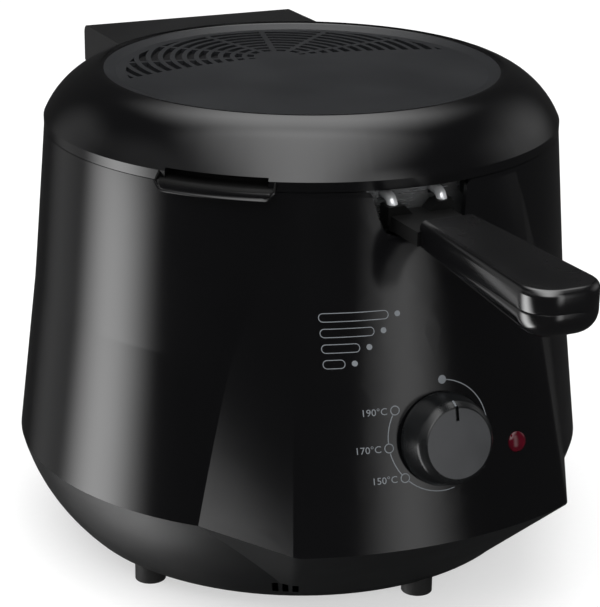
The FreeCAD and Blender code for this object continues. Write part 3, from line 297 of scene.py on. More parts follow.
def turned(label, profile, corners=96):
    """Turned solid about +Z from rows of radius and height, closed at both ends."""
    deselect()
    radius, height = profile[0]
    bpy.ops.mesh.primitive_circle_add(vertices=corners, radius=radius, fill_type="NGON",
                                      location=(0, 0, height))
    piece = named(label)
    settle(piece)
    bpy.ops.object.mode_set(mode="EDIT")
    bpy.ops.mesh.select_mode(type="FACE")
    bpy.ops.mesh.select_all(action="SELECT")
    for next_radius, next_height in profile[1:]:
        draw_ring(radius, next_radius, next_height - height, (0, 0, 0))
        radius, height = next_radius, next_height
    bpy.ops.mesh.select_all(action="SELECT")
    bpy.ops.mesh.normals_make_consistent(inside=False)
    bpy.ops.object.mode_set(mode="OBJECT")
    return piece


def stand_on_panel(piece, x, height):
    """Turn a piece from flat to square on the control panel and move it there."""
    piece.matrix_world = Matrix.Translation(panel_point(x, height)) @ Matrix.Rotation(PANEL_TURN, 4, "X")
    settle(piece)


def paint(piece, *finishes):
    """Give a piece its finishes in place of what it has."""
    piece.data.materials.clear()
    for finish in finishes:
        piece.data.materials.append(finish)


def add_node(tree, kind, inputs=None, stops=(), **settings):
    """Add a shader node with its settings, set or link its inputs, and set a colour ramp's stops."""
    node = tree.nodes.new(kind)
    for key, value in settings.items():
        setattr(node, key, value)
    for socket, value in (inputs or {}).items():
        if isinstance(value, bpy.types.NodeSocket):
            tree.links.new(value, node.inputs[socket])
        else:
            node.inputs[socket].default_value = value
    for number, (position, colour) in enumerate(stops):
        node.color_ramp.elements[number].position = position
        node.color_ramp.elements[number].color = colour
    return node


def new_finish(label):
    """Empty material with its node tree."""
    finish = bpy.data.materials.new(label)
    finish.use_nodes = True
    finish.node_tree.nodes.clear()
    return finish, finish.node_tree


def moulded(label, code, roughness, ior, grain_mm, grain_depth_mm, patch_mm, patch=0.1, rough_change=0.04):
    """Moulded plastic: slow change of tone and sheen from the mould, and the fine grain of its surface."""
    finish, tree = new_finish(label)
    low, high = MOULD_RANGE
    place = add_node(tree, "ShaderNodeTexCoord").outputs["Object"]
    slow = add_node(tree, "ShaderNodeTexNoise", {
        "Vector": place, "Scale": per_size(patch_mm), "Detail": 3.0})
    fine = add_node(tree, "ShaderNodeTexNoise", {
        "Vector": place, "Scale": per_size(grain_mm), "Detail": 2.0})
    ramp = add_node(tree, "ShaderNodeValToRGB", {"Fac": slow.outputs["Fac"]},
                    stops=((low, tone(code, 1 - patch)), (high, tone(code, 1 + patch))))
    sheen = add_node(tree, "ShaderNodeMapRange", {
        "Value": slow.outputs["Fac"], "From Min": low, "From Max": high,
        "To Min": roughness - rough_change, "To Max": roughness + rough_change})
    bump = add_node(tree, "ShaderNodeBump", {
        "Strength": 1.0, "Distance": grain_depth_mm * MM, "Height": fine.outputs["Fac"]})
    shader = add_node(tree, "ShaderNodeBsdfPrincipled", {
        "Base Color": ramp.outputs["Color"], "Roughness": sheen.outputs["Result"], "IOR": ior,
        "Normal": bump.outputs["Normal"]})
    add_node(tree, "ShaderNodeOutputMaterial", {"Surface": shader.outputs[0]})
    return finish


def worked_metal(label, code, roughness, line_mm, line_depth_mm, stretch=(1.0, 1.0, 1.0), patch=0.06,
                 rough_change=0.06, bare=0.8):
    """Worked metal with fine marks, drawn out to lines by a stretch, and a film that leaves a share bare."""
    finish, tree = new_finish(label)
    low, high = METAL_RANGE
    place = add_node(tree, "ShaderNodeTexCoord").outputs["Object"]
    drawn_out = add_node(tree, "ShaderNodeMapping", {"Vector": place, "Scale": stretch})
    lines = add_node(tree, "ShaderNodeTexNoise", {
        "Vector": drawn_out.outputs["Vector"], "Scale": per_size(line_mm), "Detail": 4.0})
    ramp = add_node(tree, "ShaderNodeValToRGB", {"Fac": lines.outputs["Fac"]},
                    stops=((low, tone(code, 1 - patch)), (high, tone(code, 1 + patch))))
    sheen = add_node(tree, "ShaderNodeMapRange", {
        "Value": lines.outputs["Fac"], "From Min": low, "From Max": high,
        "To Min": roughness - rough_change, "To Max": roughness + rough_change})
    bump = add_node(tree, "ShaderNodeBump", {
        "Strength": 1.0, "Distance": line_depth_mm * MM, "Height": lines.outputs["Fac"]})
    shader = add_node(tree, "ShaderNodeBsdfPrincipled", {
        "Base Color": ramp.outputs["Color"], "Metallic": bare, "Roughness": sheen.outputs["Result"],
        "Normal": bump.outputs["Normal"]})
    add_node(tree, "ShaderNodeOutputMaterial", {"Surface": shader.outputs[0]})
    return finish


def clear_red(label, code):
    """Polycarbonate lens, clear red: deep colour under a wet gloss, with faint flow marks."""
    finish, tree = new_finish(label)
    flow_mm = 3.0
    place = add_node(tree, "ShaderNodeTexCoord").outputs["Object"]
    flow = add_node(tree, "ShaderNodeTexNoise", {
        "Vector": place, "Scale": per_size(flow_mm), "Detail": 2.0})
    ramp = add_node(tree, "ShaderNodeValToRGB", {"Fac": flow.outputs["Fac"]},
                    stops=((0.0, tone(code, 0.6)), (1.0, tone(code, 1.4))))
    shader = add_node(tree, "ShaderNodeBsdfPrincipled", {
        "Base Color": ramp.outputs["Color"], "Roughness": 0.1, "IOR": 1.45})
    add_node(tree, "ShaderNodeOutputMaterial", {"Surface": shader.outputs[0]})
    return finish


def lamp_glass(label, code):
    """Small glow lamp of soda glass: clear, with faint drawing lines."""
    finish, tree = new_finish(label)
    line_mm = 1.5
    line_depth_mm = 0.02
    place = add_node(tree, "ShaderNodeTexCoord").outputs["Object"]
    lines = add_node(tree, "ShaderNodeTexNoise", {"Vector": place, "Scale": per_size(line_mm)})
    bump = add_node(tree, "ShaderNodeBump", {
        "Strength": 0.5, "Distance": line_depth_mm * MM, "Height": lines.outputs["Fac"]})
    shader = add_node(tree, "ShaderNodeBsdfPrincipled", {
        "Base Color": linear(code), "Roughness": 0.05, "IOR": 1.52, "Transmission Weight": 0.9,
        "Normal": bump.outputs["Normal"]})
    add_node(tree, "ShaderNodeOutputMaterial", {"Surface": shader.outputs[0]})
    return finish


def felt(label, code):
    """Needled filter felt: fibres a fraction of a millimetre wide, drawn coarse so that they show."""
    finish, tree = new_finish(label)
    fibre_mm = 1.2
    fibre_depth_mm = 0.5
    place = add_node(tree, "ShaderNodeTexCoord").outputs["Object"]
    fibres = add_node(tree, "ShaderNodeTexNoise", {
        "Vector": place, "Scale": per_size(fibre_mm), "Detail": 6.0})
    ramp = add_node(tree, "ShaderNodeValToRGB", {"Fac": fibres.outputs["Fac"]},
                    stops=((0.0, tone(code, 0.6)), (1.0, linear(code))))
    bump = add_node(tree, "ShaderNodeBump", {
        "Strength": 1.0, "Distance": fibre_depth_mm * MM, "Height": fibres.outputs["Fac"]})
    shader = add_node(tree, "ShaderNodeBsdfPrincipled", {
        "Base Color": ramp.outputs["Color"], "Roughness": 0.95, "Sheen Weight": 0.3,
        "Normal": bump.outputs["Normal"]})
    add_node(tree, "ShaderNodeOutputMaterial", {"Surface": shader.outputs[0]})
    return finish


finishes = {}


def make_plastics():
    """One material for each moulded or printed finish."""
    look = colours()
    # High gloss ABS from a polished mould: near black, with a faint waviness in long reflections.
    finishes["gloss"] = moulded(
        "polished_black_abs", look.gloss, roughness=0.13, ior=1.53, grain_mm=9.0, grain_depth_mm=0.004,
        patch_mm=60.0, rough_change=0.02)
    # Polypropylene from a sparked mould: even fine grain that scatters light to a soft dark grey.
    finishes["base"] = moulded(
        "sparked_black_polypropylene", look.base, roughness=0.42, ior=1.49, grain_mm=0.7,
        grain_depth_mm=0.05, patch_mm=45.0, patch=0.12, rough_change=0.05)
    # Satin ABS plate: the grain of the mould dulls it to a dark grey.
    finishes["plate"] = moulded(
        "satin_grey_abs", look.plate, roughness=0.34, ior=1.53, grain_mm=0.6, grain_depth_mm=0.03,
        patch_mm=50.0, patch=0.08)
    # Phenolic moulding with a finely blasted top: a soft sheen without sharp reflections.
    finishes["handle"] = moulded(
        "blasted_black_phenolic", look.handle, roughness=0.27, ior=1.5, grain_mm=0.8, grain_depth_mm=0.008,
        patch_mm=30.0, patch=0.12, rough_change=0.03)
    # The same phenolic where the mould is polished: its index is set high for strong edge highlights.
    finishes["handle_gloss"] = moulded(
        "polished_black_phenolic", look.gloss, roughness=0.16, ior=1.85, grain_mm=7.0, grain_depth_mm=0.004,
        patch_mm=30.0, rough_change=0.03)
    # Satin ABS knob: a fine turned mould leaves a soft sheen on its side.
    finishes["knob"] = moulded(
        "satin_black_abs", look.knob, roughness=0.28, ior=1.53, grain_mm=0.5, grain_depth_mm=0.02,
        patch_mm=20.0)
    # The knob's face: a lighter grey than the side, as painted light where the face turns to the light, and duller
    # than the side.
    finishes["knob_face"] = moulded(
        "painted_light_face_abs", look.knob_face, roughness=0.42, ior=1.53, grain_mm=0.5, grain_depth_mm=0.02,
        patch_mm=12.0, patch=0.12, rough_change=0.05)
    # Semi gloss ABS of the hinge cover, from a finely blasted mould.
    finishes["cover"] = moulded(
        "semi_gloss_black_abs", look.gloss, roughness=0.36, ior=1.53, grain_mm=0.6, grain_depth_mm=0.02,
        patch_mm=40.0)
    # Painted shade: a dull near black with a low index, darker and less shiny than the shell, used where the lid's
    # finger scoop and the handle's notch lie in shade.
    finishes["pocket"] = moulded(
        "painted_shade_black_abs", "#030303", roughness=0.6, ior=1.3, grain_mm=0.8, grain_depth_mm=0.02, patch_mm=20.0)
    # Pale pad-printing ink: thin, dull and slightly uneven.
    finishes["ink"] = moulded(
        "pale_pad_ink", look.ink, roughness=0.55, ior=1.5, grain_mm=0.4, grain_depth_mm=0.01, patch_mm=6.0,
        rough_change=0.05)
    # Nitrile rubber: dull black with a powdery bloom.
    finishes["rubber"] = moulded(
        "black_nitrile_rubber", "#111111", roughness=0.75, ior=1.52, grain_mm=1.2, grain_depth_mm=0.05,
        patch_mm=9.0, patch=0.25, rough_change=0.08)
    # Glass filled resin: cream, dull and a little mottled.
    finishes["resin"] = moulded(
        "cream_filled_resin", "#CFC8B6", roughness=0.55, ior=1.55, grain_mm=0.8, grain_depth_mm=0.03,
        patch_mm=12.0, patch=0.06, rough_change=0.06)
    finishes["lens"] = clear_red("clear_red_polycarbonate", look.lens)


def make_metals():
    """One material for each metal, and those of the filter and the lamp."""
    # Expanded steel sheet, blackened: it hides the filter behind the grille.
    finishes["black_steel"] = worked_metal(
        "blackened_steel_sheet", "#1C1C1D", roughness=0.5, line_mm=1.0, line_depth_mm=0.02)
    # Spun aluminium: pale grey, with fine level lines from the spinning tool.
    finishes["bowl"] = worked_metal(
        "spun_aluminium", "#C4C6C8", roughness=0.24, line_mm=0.8, line_depth_mm=0.01,
        stretch=(0.06, 0.06, 1.0))
    # Zinc plated steel: bluish white, clouded by the plating.
    finishes["steel"] = worked_metal(
        "zinc_plated_steel", "#B4B7BA", roughness=0.32, line_mm=3.0, line_depth_mm=0.01)
    # Chrome plated drawn wire: bright, clouded by use, with slight ripples from drawing.
    finishes["chrome"] = worked_metal(
        "chrome_plated_wire", "#E2E4E6", roughness=0.2, line_mm=5.0, line_depth_mm=0.004, patch=0.03,
        rough_change=0.02, bare=0.5)
    # Rolled stainless sheet: satin, with rolling lines across it.
    finishes["liner"] = worked_metal(
        "rolled_stainless_sheet", "#B9BBBD", roughness=0.34, line_mm=0.6, line_depth_mm=0.01,
        stretch=(0.04, 1.0, 1.0))
    finishes["felt"] = felt("needled_filter_felt", "#A39F92")
    finishes["glass"] = lamp_glass("soda_lamp_glass", "#F2EEE6")


SLOT_FINISH = {
    "shell_gloss": "gloss",
    "base_matte": "base",
    "plate_matte": "plate",
    "handle_matte": "handle",
    "knob_black": "knob",
    "pointer_grey": "ink",
    "foot_rubber": "rubber",
    "bowl_metal": "bowl",
    "steel": "steel",
    "chrome_wire": "chrome",
    "liner_steel": "liner",
    "filter_felt": "felt",
    "inner_resin": "resin",
    "lens_red": "lens",
    "lamp_glass": "glass",
}
# Nodes whose finish differs from that of their slot.
NODE_FINISH = {
    # The yoke in the handle's notch takes the painted shade of the scoop's hollow.
    "handle_yoke": "pocket",
    "hinge_cover": "cover",
    "filter_mesh": "black_steel",
}


class FRYER_OT_finish_solids(bpy.types.Operator):
    """Give every solid of the fryer the finish of its material slot"""

    bl_idname = "fryer.finish_solids"
    bl_label = "Finish solids"

    def execute(self, context):
        make_plastics()
        make_metals()
        slots = {part["node"]: part["material_slot"] for part in frame["record"]["subparts"]}
        for node, piece in frame["nodes"].items():
            finish = NODE_FINISH.get(node, SLOT_FINISH[slots[node]])
            paint(piece, finishes[finish])
        return {"FINISHED"}


class FRYER_OT_add_knob(bpy.types.Operator):
    """Turn the thermostat knob with its bevelled face and cut its pointer groove"""

    bl_idname = "fryer.add_knob"
    bl_label = "Add knob"

    def execute(self, context):
        radius = sizes().knob_radius
        depth = sizes().knob_depth
        float_gap = 0.6 * MM
        back_radius = radius * 0.94
        skirt_height = 2.6 * MM
        shoulder_radius = radius * 0.885
        shoulder_height = depth - 3.0 * MM
        face_radius = radius * 0.765
        knob = turned("knob_cap", [
            (back_radius, float_gap),
            (radius, float_gap),
            (radius, skirt_height),
            (shoulder_radius, shoulder_height),
            (face_radius, depth),
        ])
        begin_edit(knob, "EDGE")
        edge_rounds = {skirt_height: 0.7 * MM, shoulder_height: 0.9 * MM, depth: 0.5 * MM}
        for height, rounding in edge_rounds.items():
            round_edges(knob, level_edges(height), rounding, 4)
        bpy.ops.object.mode_set(mode="OBJECT")
        groove_size = (1.5 * MM, 8.6 * MM, 3.0 * MM)
        groove_inset = 1.4 * MM
        cutter = block("pointer_cutter", groove_size, (0, face_radius - groove_inset, depth))
        apply_modifier(knob, "BOOLEAN", object=cutter, operation="DIFFERENCE", solver="EXACT")
        bpy.data.objects.remove(cutter)
        tick_size = (0.9 * MM, 3.0 * MM, 0.7 * MM)
        tick_reach = 1.3 * MM
        tick_drop = 2.0 * MM
        tick_lean = math.radians(-52)
        tick_round = 0.12 * MM
        tick = block("pointer_tick", tick_size, (0, face_radius + tick_reach, depth - tick_drop), tick_lean)
        begin_edit(tick, "EDGE")
        round_edges(tick, lambda edge: True, tick_round, 2)
        bpy.ops.object.mode_set(mode="OBJECT")
        for piece in (knob, tick):
            stand_on_panel(piece, 0.0, KNOB_PLACE.z)
            smooth(piece)
            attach(piece, "knob")
        # The face takes the lighter grey of painted light; the skirt and cone keep the knob's own colour.
        paint(knob, finishes["knob"], finishes["knob_face"])
        smallest_face = 0.3 * face_radius * face_radius
        for side in knob.data.polygons:
            on_face = side.normal.dot(PANEL_OUTWARD) > 0.99 and side.area > smallest_face
            side.material_index = 1 if on_face else 0
        paint(tick, finishes["ink"])
        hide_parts("control_knob")
        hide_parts("knob_pointer")
        return {"FINISHED"}


class FRYER_OT_add_lens(bpy.types.Operator):
    """Turn the domed red lens of the pilot lamp"""

    bl_idname = "fryer.add_lens"
    bl_label = "Add lens"

    def execute(self, context):
        low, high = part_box("pilot_lens")
        seat_gap = 0.05 * MM
        radius = (high.x - low.x) / 2 - seat_gap
        stem = 7.0 * MM
        collar = 0.4 * MM
        crown = 1.7 * MM
        lift = 1.0 * MM
        steps = 9
        dome = [(radius, -stem), (radius, collar)]
        for step in range(1, steps):
            turn = math.pi / 2 * step / steps
            dome.append((radius * math.cos(turn), collar + crown * math.sin(turn)))
        lens = turned("pilot_lens_dome", dome, 64)
        stand_on_panel(lens, (low.x + high.x) / 2, (low.z + high.z) / 2 + lift)
        bring_forward = low.y - min(point.co.y for point in lens.data.vertices)
        lens.data.transform(Matrix.Translation((0, bring_forward, 0)))
        smooth(lens, 50)
        paint(lens, finishes["lens"])
        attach(lens, "housing")
        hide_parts("pilot_lens")
        return {"FINISHED"}


def handle_block(label, low, high, root_half, tip_half, tip_round):
    """Handle half as a block that widens from its root to a tip with rounded corners."""
    upper_low, upper_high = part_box("handle_upper")
    root_y = upper_high.y
    tip_y = upper_low.y
    piece = block(label, (2 * root_half, root_y - tip_y, high - low),
                  (0, (root_y + tip_y) / 2, (low + high) / 2))

    def tip_corner(edge):
        first, second = (corner.co for corner in edge.verts)
        return abs(first.z - second.z) > NEAR and (first.y + second.y) / 2 < tip_y + NEAR

    begin_edit(piece, "FACE")
    choose(piece, "FACE", lambda face: face.normal.y < -0.9)
    bpy.ops.transform.resize(value=(tip_half / root_half, 1, 1), center_override=(0, tip_y, low))
    round_edges(piece, tip_corner, tip_round, 12)
    return piece


class FRYER_OT_add_handle(bpy.types.Operator):
    """Model the basket handle's rounded upper and lower shells"""

    bl_idname = "fryer.add_handle"
    bl_label = "Add handle"

    def execute(self, context):
        upper_low, upper_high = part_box("handle_upper")
        root_y = upper_high.y
        tip_y = upper_low.y
        top = upper_high.z
        # The shells reach below their solids, so the seam and the underside lie lower than those do.
        seam = upper_low.z - 2.3 * MM
        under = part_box("handle_lower")[0].z - 1.8 * MM
        tip_round = 13.0 * MM
        root_half = 13.0 * MM
        tip_half = upper_high.x
        top_round = 3.0 * MM
        seam_round = 0.35 * MM
        root_depth = 4.0 * MM
        full_depth_share = 0.12
        upper = handle_block("handle_top_shell", seam, top, root_half, tip_half, tip_round)
        round_edges(upper, level_edges(top, root_y), top_round, 8)
        round_edges(upper, level_edges(seam, root_y), seam_round, 2)
        bpy.ops.object.mode_set(mode="OBJECT")
        lower = handle_block("handle_under_shell", under, seam, root_half, tip_half, tip_round)
        round_edges(lower, level_edges(under, root_y), sizes().handle_round, 10)
        round_edges(lower, level_edges(seam, root_y), seam_round, 2)
        bpy.ops.object.mode_set(mode="OBJECT")
        root_share = root_depth / (seam - under)
        for point in lower.data.vertices:
            along = (point.co.y - tip_y) / (root_y - tip_y)
            drawn = max(0.0, min(1.0, (along - full_depth_share) / (1.0 - full_depth_share)))
            point.co.z = seam - (seam - point.co.z) * (1.0 - drawn * (1.0 - root_share))
        for piece, node in ((upper, "handle_upper"), (lower, "handle_lower")):
            paint(piece, finishes["handle_gloss"], finishes["handle"])
            for face in piece.data.polygons:
                face.material_index = 1 if face.normal.z > 0.97 else 0
            smooth(piece, 40)
            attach(piece, "basket")
            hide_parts(node)
        return {"FINISHED"}


def turn_of(point):
    """Angle of a point round the upright axis."""
    return math.atan2(point.co.y, point.co.x)


class FRYER_OT_add_scoop(bpy.types.Operator):
    """Model the finger scoop in the lid's front edge, with its rolled lip"""

    bl_idname = "fryer.add_scoop"
    bl_label = "Add scoop"

    def execute(self, context):
        spread = math.radians(24.6)
        middle_turn = math.radians(-42.5)
        sheet = 0.9 * MM
        # Radius and height in mm, from the pocket's roof down its back, along its floor and down the lip.
        section = [(115.4, 201.6), (112.6, 201.4), (111.4, 200.2), (111.3, 198.0), (112.4, 196.9),
                   (117.6, 196.3), (119.2, 195.9), (119.7, 195.0), (120.0, 193.4), (120.3, 192.4),
                   (120.9, 192.0), (121.3, 192.5)]
        path = [Vector((radius * MM, 0, height * MM)) for radius, height in section]
        lip_radius = path[-1].x
        lip_reach = 120.2 * MM
        lip_top = 195.8 * MM
        lip_drop = 3.9 * MM
        end_round = 5.5 * MM
        edge_round = 0.3 * MM
        deselect()
        bpy.ops.mesh.primitive_plane_add(size=MM)
        scoop = named("lid_finger_scoop")
        begin_edit(scoop, "VERT")
        choose(scoop, "VERT", lambda point: point.index > 0)
        bpy.ops.mesh.delete(type="VERT")
        bpy.ops.mesh.select_all(action="SELECT")
        start = next(iter(bmesh.from_edit_mesh(scoop.data).verts)).co.copy()
        bpy.ops.transform.translate(value=path[0] - start)
        for here, there in zip(path, path[1:]):
            bpy.ops.mesh.extrude_vertices_move(TRANSFORM_OT_translate={"value": there - here})
        bpy.ops.mesh.select_all(action="SELECT")
        bpy.ops.mesh.spin(steps=28, angle=spread, center=(0, 0, 0), axis=(0, 0, 1))
        bpy.ops.mesh.select_all(action="SELECT")
        bpy.ops.mesh.remove_doubles(threshold=1e-7)
        turns = [turn_of(point) for point in bmesh.from_edit_mesh(scoop.data).verts]
        ends = (min(turns), max(turns))
        for end in ends:
            choose(scoop, "EDGE", lambda edge: all(abs(turn_of(point) - end) < 1e-4 for point in edge.verts))
            bpy.ops.mesh.edge_face_add()
        bpy.ops.mesh.select_all(action="SELECT")
        bpy.ops.mesh.normals_make_consistent(inside=False)
        bpy.ops.object.mode_set(mode="OBJECT")
        for point in scoop.data.vertices:
            turn = turn_of(point)
            inward = min(turn - ends[0], ends[1] - turn) * lip_radius
            share = 1.0 - min(1.0, max(0.0, inward) / end_round)
            lowest = lip_top - lip_drop * math.sqrt(1.0 - share * share)
            point.co.z = max(point.co.z, lowest)
        swing = middle_turn - math.pi / 2 - (ends[0] + ends[1]) / 2
        scoop.data.transform(Matrix.Translation((0, BOWL_AXIS_Y, 0)) @ Matrix.Rotation(swing, 4, "Z"))
        apply_modifier(scoop, "SOLIDIFY", thickness=sheet, offset=0.0)
        apply_modifier(scoop, "BEVEL", width=edge_round, segments=3, limit_method="ANGLE",
                       angle_limit=math.radians(50))
        smooth(scoop, 60)
        # Inside the scoop is painted shade; only the lip beyond lip_reach is gloss.
        paint(scoop, finishes["pocket"], finishes["gloss"])
        axis = Vector((0, BOWL_AXIS_Y, 0))
        for side in scoop.data.polygons:
            reach = (side.center - axis).to_2d().length
            side.material_index = 1 if reach > lip_reach else 0
        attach(scoop, "lid")
        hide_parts("lid_grip")
        return {"FINISHED"}


class FRYER_OT_add_plate_rim(bpy.types.Operator):
    """Model the raised bead round the top plate"""

    bl_idname = "fryer.add_plate_rim"
    bl_label = "Add plate rim"

    def execute(self, context):
        low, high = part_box("lid_top_plate")
        radius = (high.x - low.x) / 2
        bead_half = 1.7 * MM
        bead_rise = 0.5
        deselect()
        bpy.ops.mesh.primitive_torus_add(
            major_segments=192, minor_segments=20, major_radius=radius, minor_radius=bead_half,
            location=(0, BOWL_AXIS_Y, high.z - bead_half * bead_rise))
        bead = named("plate_rim_bead")
        bead.scale = (1, 1, bead_rise)
        settle(bead)
        smooth(bead, 60)
        paint(bead, finishes["gloss"])
        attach(bead, "lid")
        return {"FINISHED"}


class FRYER_OT_add_basket(bpy.types.Operator):
    """Weave the basket's wire mesh"""

    bl_idname = "fryer.add_basket"
    bl_label = "Add basket"

    def execute(self, context):
        low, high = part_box("basket_mesh")
        half_wire = sizes().wire_thickness / 2
        taper = 8.0 * MM
        top_radius = (high.x - low.x) / 2 - half_wire
        base_radius = top_radius - taper
        bottom = low.z + half_wire
        top = high.z - half_wire
        rows = sizes().wire_rows
        floor_rows = rows - 2
        deselect()
        bpy.ops.mesh.primitive_circle_add(vertices=sizes().wire_count, radius=top_radius,
                                          fill_type="NOTHING", location=(0, BOWL_AXIS_Y, top))
        basket = named("basket_wire_mesh")
        settle(basket)
        bpy.ops.object.mode_set(mode="EDIT")
        bpy.ops.mesh.select_all(action="SELECT")
        centre = (0, BOWL_AXIS_Y, 0)
        radius = top_radius
        for row in range(rows):
            next_radius = top_radius - taper * (row + 1) / rows
            draw_ring(radius, next_radius, (bottom - top) / rows, centre)
            radius = next_radius
        for row in range(floor_rows):
            next_radius = base_radius * (1 - (row + 1) / (floor_rows + 1))
            draw_ring(radius, next_radius, 0, centre)
            radius = next_radius
        bpy.ops.object.mode_set(mode="OBJECT")
        apply_modifier(basket, "WIREFRAME", thickness=sizes().wire_thickness, use_replace=True,
                       use_even_offset=False)
        smooth(basket, 60)
        paint(basket, finishes["chrome"])
        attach(basket, "basket")
        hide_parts("basket_mesh")
        return {"FINISHED"}


def flat_disc(x, y, radius):
    """Printed dot, in mm."""
    deselect()
    bpy.ops.mesh.primitive_circle_add(vertices=32, radius=radius * MM, fill_type="NGON",
                                      location=(x * MM, y * MM, 0))
    return bpy.context.object


def flat_arc(x, y, radius, width, start, sweep):
    """Printed arc, in mm, clockwise from twelve o'clock, in degrees; a full turn makes a ring."""
    deselect()
    bpy.ops.mesh.primitive_plane_add(size=width * MM, location=(0, radius * MM, 0))
    piece = bpy.context.object
    settle(piece)
    begin_edit(piece, "VERT")
    choose(piece, "VERT", lambda point: point.co.x > 0)
    bpy.ops.mesh.delete(type="VERT")
    bpy.ops.mesh.select_all(action="SELECT")
    fewest_steps = 8
    step_degrees = 5
    steps = max(fewest_steps, int(sweep / step_degrees))
    bpy.ops.mesh.spin(steps=steps, angle=math.radians(sweep), center=(0, 0, 0), axis=(0, 0, 1),
                      use_auto_merge=True)
    bpy.ops.mesh.select_all(action="SELECT")
    bpy.ops.mesh.remove_doubles(threshold=1e-6)
    bpy.ops.mesh.normals_make_consistent(inside=False)
    bpy.ops.object.mode_set(mode="OBJECT")
    begin_turn = Matrix.Rotation(-math.radians(start), 4, "Z")
    piece.data.transform(Matrix.Translation((x * MM, y * MM, 0)) @ begin_turn)
    return piece


def flat_outline(x, y, width, height, rounding, line):
    """Printed outline of a bar with rounded ends, in mm."""
    deselect()
    bpy.ops.mesh.primitive_plane_add(size=1, location=(0, 0, 0))
    piece = bpy.context.object
    piece.scale = (width * MM, height * MM, 1)
    settle(piece)
    begin_edit(piece, "VERT")
    bpy.ops.mesh.select_all(action="SELECT")
    bpy.ops.mesh.bevel(offset=rounding * MM, segments=6, affect="VERTICES", clamp_overlap=True)
    bpy.ops.mesh.select_mode(type="FACE")
    bpy.ops.mesh.select_all(action="SELECT")
    bpy.ops.mesh.inset(thickness=line * MM)
    bpy.ops.mesh.delete(type="FACE")
    longest_edge = 2 * MM
    choose(piece, "EDGE", lambda edge: edge.calc_length() > longest_edge)
    bpy.ops.mesh.subdivide(number_cuts=12)
    bpy.ops.object.mode_set(mode="OBJECT")
    piece.data.transform(Matrix.Translation((x * MM, y * MM, 0)))
    return piece


def flat_text(x, y, height, body):
    """Printed figures of a capital height, in mm, that end at a place on their line."""
    capital_share = 0.7
    widening = 1.04
    deselect()
    bpy.ops.object.text_add(location=(0, 0, 0))
    words = bpy.context.object
    words.data.body = body
    words.data.align_x = "RIGHT"
    words.data.size = height / capital_share * MM
    words.data.resolution_u = 3
    bpy.ops.object.convert(target="MESH")
    piece = bpy.context.object
    piece.data.transform(Matrix.Translation((x * MM, y * MM, 0)) @ Matrix.Diagonal((widening, 1, 1, 1)))
    return piece


def print_on_panel(label, marks, height):
    """Join flat marks into one print and lay it on the curved control panel."""
    deselect()
    for mark in marks:
        mark.data.materials.clear()
        mark.select_set(True)
    bpy.context.view_layer.objects.active = marks[0]
    bpy.ops.object.join()
    piece = named(label)
    settle(piece)
    begin_edit(piece, "FACE")
    bpy.ops.mesh.select_all(action="SELECT")
    bpy.ops.mesh.normals_make_consistent(inside=False)
    bpy.ops.object.mode_set(mode="OBJECT")
    if piece.data.polygons[0].normal.z < 0:
        piece.data.flip_normals()
    stand_on_panel(piece, 0.0, height)
    piece.data.transform(Matrix.Translation((0, -PRINT_STANDOFF, 0)))
    apply_modifier(piece, "SHRINKWRAP", target=frame["nodes"]["outer_shell"], wrap_method="PROJECT",
                   use_project_y=True, use_positive_direction=True, use_negative_direction=False,
                   wrap_mode="ABOVE_SURFACE", offset=PRINT_LIFT)
    apply_modifier(piece, "SOLIDIFY", thickness=PRINT_THICKNESS, offset=1.0)
    paint(piece, finishes["ink"])
    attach(piece, "housing")


class FRYER_OT_add_dial(bpy.types.Operator):
    """Print the temperature scale round the knob"""

    bl_idname = "fryer.add_dial"
    bl_label = "Add dial"

    def execute(self, context):
        radius = sizes().dial_radius / MM
        figure = sizes().number_height / MM
        line = 0.42
        ring_radius = 2.05
        figure_gap = 1.2
        # The scale stands a little to the left of the knob's axis and above it.
        shift = Vector((-0.8, 1.4, 0.0)) * MM
        # Angles in degrees, clockwise from twelve o'clock: the off dot, the arc after it and the stops.
        off_turn = math.radians(7.0)
        off_radius = 1.85
        off_arc = (10.0, 82.0)
        heat_start = 169.0
        stops = {"150°C": 228.0, "170°C": 264.0, "190°C": 304.0}
        half_ring = math.degrees(ring_radius / radius)
        angles = sorted(stops.values())
        arcs = [off_arc, (heat_start, angles[0] - half_ring)]
        for first, second in zip(angles, angles[1:]):
            arcs.append((first + half_ring, second - half_ring))
        marks = [flat_disc(radius * math.sin(off_turn), radius * math.cos(off_turn), off_radius)]
        for start, end in arcs:
            marks.append(flat_arc(0, 0, radius, line, start, end - start))
        for words, angle in stops.items():
            turn = math.radians(angle)
            x = radius * math.sin(turn)
            y = radius * math.cos(turn)
            marks.append(flat_arc(x, y, ring_radius - line / 2, line, 0.0, 360.0))
            marks.append(flat_text(x - ring_radius - figure_gap, y - figure / 2, figure, words))
        for mark in marks:
            mark.data.transform(Matrix.Translation(shift))
        print_on_panel("dial_print", marks, KNOB_PLACE.z)
        return {"FINISHED"}


class FRYER_OT_add_guide(bpy.types.Operator):
    """Print a plain mark of growing bars above the dial"""

    bl_idname = "fryer.add_guide"
    bl_label = "Add guide"

    def execute(self, context):
        line = 0.33
        left = -48.0
        rows = 4
        row_step = 6.4
        bar_height = 3.8
        bar_round = bar_height * 0.48
        dot_radius = bar_height * 0.32
        shortest = 9.0
        growth = 6.5
        marks = []
        for row in range(rows):
            height = (row - (rows - 1) / 2) * row_step
            length = shortest + growth * row
            marks.append(flat_outline(left + length / 2, height, length, bar_height, bar_round, line))
            marks.append(flat_disc(left + length + bar_height, height, dot_radius))
        print_on_panel("guide_print", marks, sizes().guide_height)
        return {"FINISHED"}


